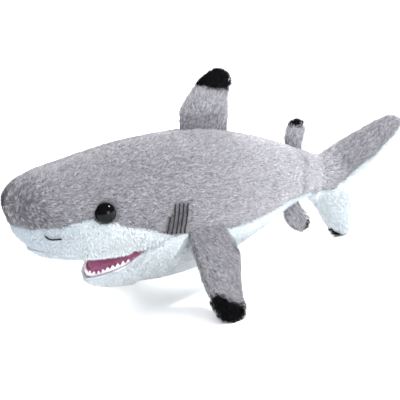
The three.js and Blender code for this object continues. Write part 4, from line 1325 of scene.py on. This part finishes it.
# %% Gills and nostrils
GILL_COUNT, GILL_PITCH, GILL_LEAN, SHORT_BY = 5, 2.0, 0.12, 5.0
GILL_LIFT, NOSTRIL_LIFT = 1.4, 1.7
NOSTRIL_STEPS = [k / 10 for k in range(11)]
for hand, side in [("left", -1), ("right", 1)]:
    corners = toy_place(node_points(f"gill_stitches_{hand}"))
    (first, _, low_end), (_, _, high_end) = corners.min(axis=0), corners.max(axis=0)
    lines = []
    for k in range(GILL_COUNT):
        top = high_end - (SHORT_BY if k == 0 else 0)
        heights = np.linspace(low_end + 0.3, top - 0.3, 10)
        start = first + 0.45 + GILL_PITCH * k
        lines.append([on_flank(start + GILL_LEAN * (h - low_end), h, side, GILL_LIFT) for h in heights])
    gills = embroidered(f"gill_embroidery_{hand}", lines)
    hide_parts(f"gill_stitches_{hand}")
    corners = toy_place(node_points(f"nostril_stitch_{hand}"))
    (first, _, low_end), (last, _, high_end) = corners.min(axis=0) + 0.3, corners.max(axis=0) - 0.3
    drops = [(1 - t) ** 3 * 0.9 + 0.25 * t**2 for t in NOSTRIL_STEPS]  # steep in front, rising again behind
    smile = [on_flank(first + (last - first) * t, low_end + (high_end - low_end) * drop, side, NOSTRIL_LIFT)
             for t, drop in zip(NOSTRIL_STEPS, drops)]
    nostril = embroidered(f"nostril_embroidery_{hand}", [smile], spacing=0.8)
    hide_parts(f"nostril_stitch_{hand}")

# %% [markdown]
# ## Felt teeth
#
# The teeth are the scalloped edge of a felt strip caught in the lip seam. The CAD strips give the
# line they follow; here the scallops are small and rounded, and the strip's base is in the seam.

# %% Scalloped strips
TOOTH_PITCH = 2.4  # millimetres, as all the sizes below
FELT = 0.8
SAMPLES = 8  # to a tooth
MOUTH_BACK = 50  # along the toy, where the bearings are taken from


def strip_line(node, hangs):
    """The free edge of a CAD strip as an ordered line, found by its bearing from the mouth's middle."""
    points = toy_place(node_points(node))
    bearing = np.degrees(np.arctan2(points[:, 1], MOUTH_BACK - points[:, 0]))
    steps = np.arange(bearing.min() + 1, bearing.max(), 3)
    line = []
    for step in steps:
        near_step = points[np.abs(bearing - step) < 3.5]
        if len(near_step) > 2:
            edge = near_step[:, 2].min() if hangs else near_step[:, 2].max()
            line.append([near_step[:, 0].mean(), near_step[:, 1].mean(), edge])
    line = np.array(line)
    for _ in range(4):
        line[1:-1] = 0.5 * line[1:-1] + 0.25 * (line[:-2] + line[2:])
    return line


def felt_teeth(name, node, hangs, tall, drop, deep, outward=0.0):
    """A strip of teeth so tall, its tips below the CAD strip's by drop, its base deep in the seam.

    Outward moves it away from the mouth's middle, to where the seam is on the padded skin.
    """
    line = strip_line(node, hangs)
    from_middle = line[:, :2] - [MOUTH_BACK, 0]
    line[:, :2] += outward * from_middle / np.linalg.norm(from_middle, axis=1)[:, None]
    run = np.concatenate([[0], np.cumsum(np.linalg.norm(np.diff(line, axis=0), axis=1))])
    count = int(run[-1] / TOOTH_PITCH) * SAMPLES
    at = np.linspace(0, run[-1], count + 1)
    line = np.stack([np.interp(at, run, line[:, k]) for k in range(3)], axis=1)
    ahead = np.gradient(line, axis=0)
    across = np.stack([-ahead[:, 1], ahead[:, 0], np.zeros(len(ahead))], axis=1)
    across /= np.linalg.norm(across, axis=1)[:, None]
    up = -1 if hangs else 1
    bump = tall * (1 - np.abs(np.sin(math.pi * np.arange(count + 1) / SAMPLES + math.pi / 2)) ** 1.5)
    points = []
    for place, side, height in zip(line, across, bump):
        for out, level in [(-0.5, -deep), (-0.5, height - 0.25), (-0.2, height), (0.2, height),
                           (0.5, height - 0.25), (0.5, -deep)]:
            lifted = place + side * out * FELT + np.array([0, 0, up * (level - tall - drop)])
            points.append(spot(*lifted))
    ends = [tuple(range(6))[::-1], tuple(6 * count + k for k in range(6))]
    made = closed_shell(mesh_object(name, points, between_rings(count, 6) + ends))
    made.data.materials.append(white_felt)
    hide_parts(node)
    return made


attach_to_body(felt_teeth("upper_felt_left", "upper_teeth_left", True, 0.8, 0.1, 1.2), "torso")
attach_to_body(felt_teeth("upper_felt_right", "upper_teeth_right", True, 0.8, 0.1, 1.2), "torso")
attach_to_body(felt_teeth("lower_felt", "lower_teeth", False, 1.2, 1.0, 1.2, 0.8), "jaw")

# %% [markdown]
# ## What stays as CAD made it
#
# The lock washers have their true shape already, so they stay and only get their finish.

# %% Finishes on the CAD nodes that stay
for node in ("eye_washer_left", "eye_washer_right"):
    frame["nodes"][node].data.materials.clear()
    frame["nodes"][node].data.materials.append(washer_plastic)

# %% Remove the fibre and the stitch used as patterns
for tool in (fibre, stitch):
    bpy.data.objects.remove(tool)
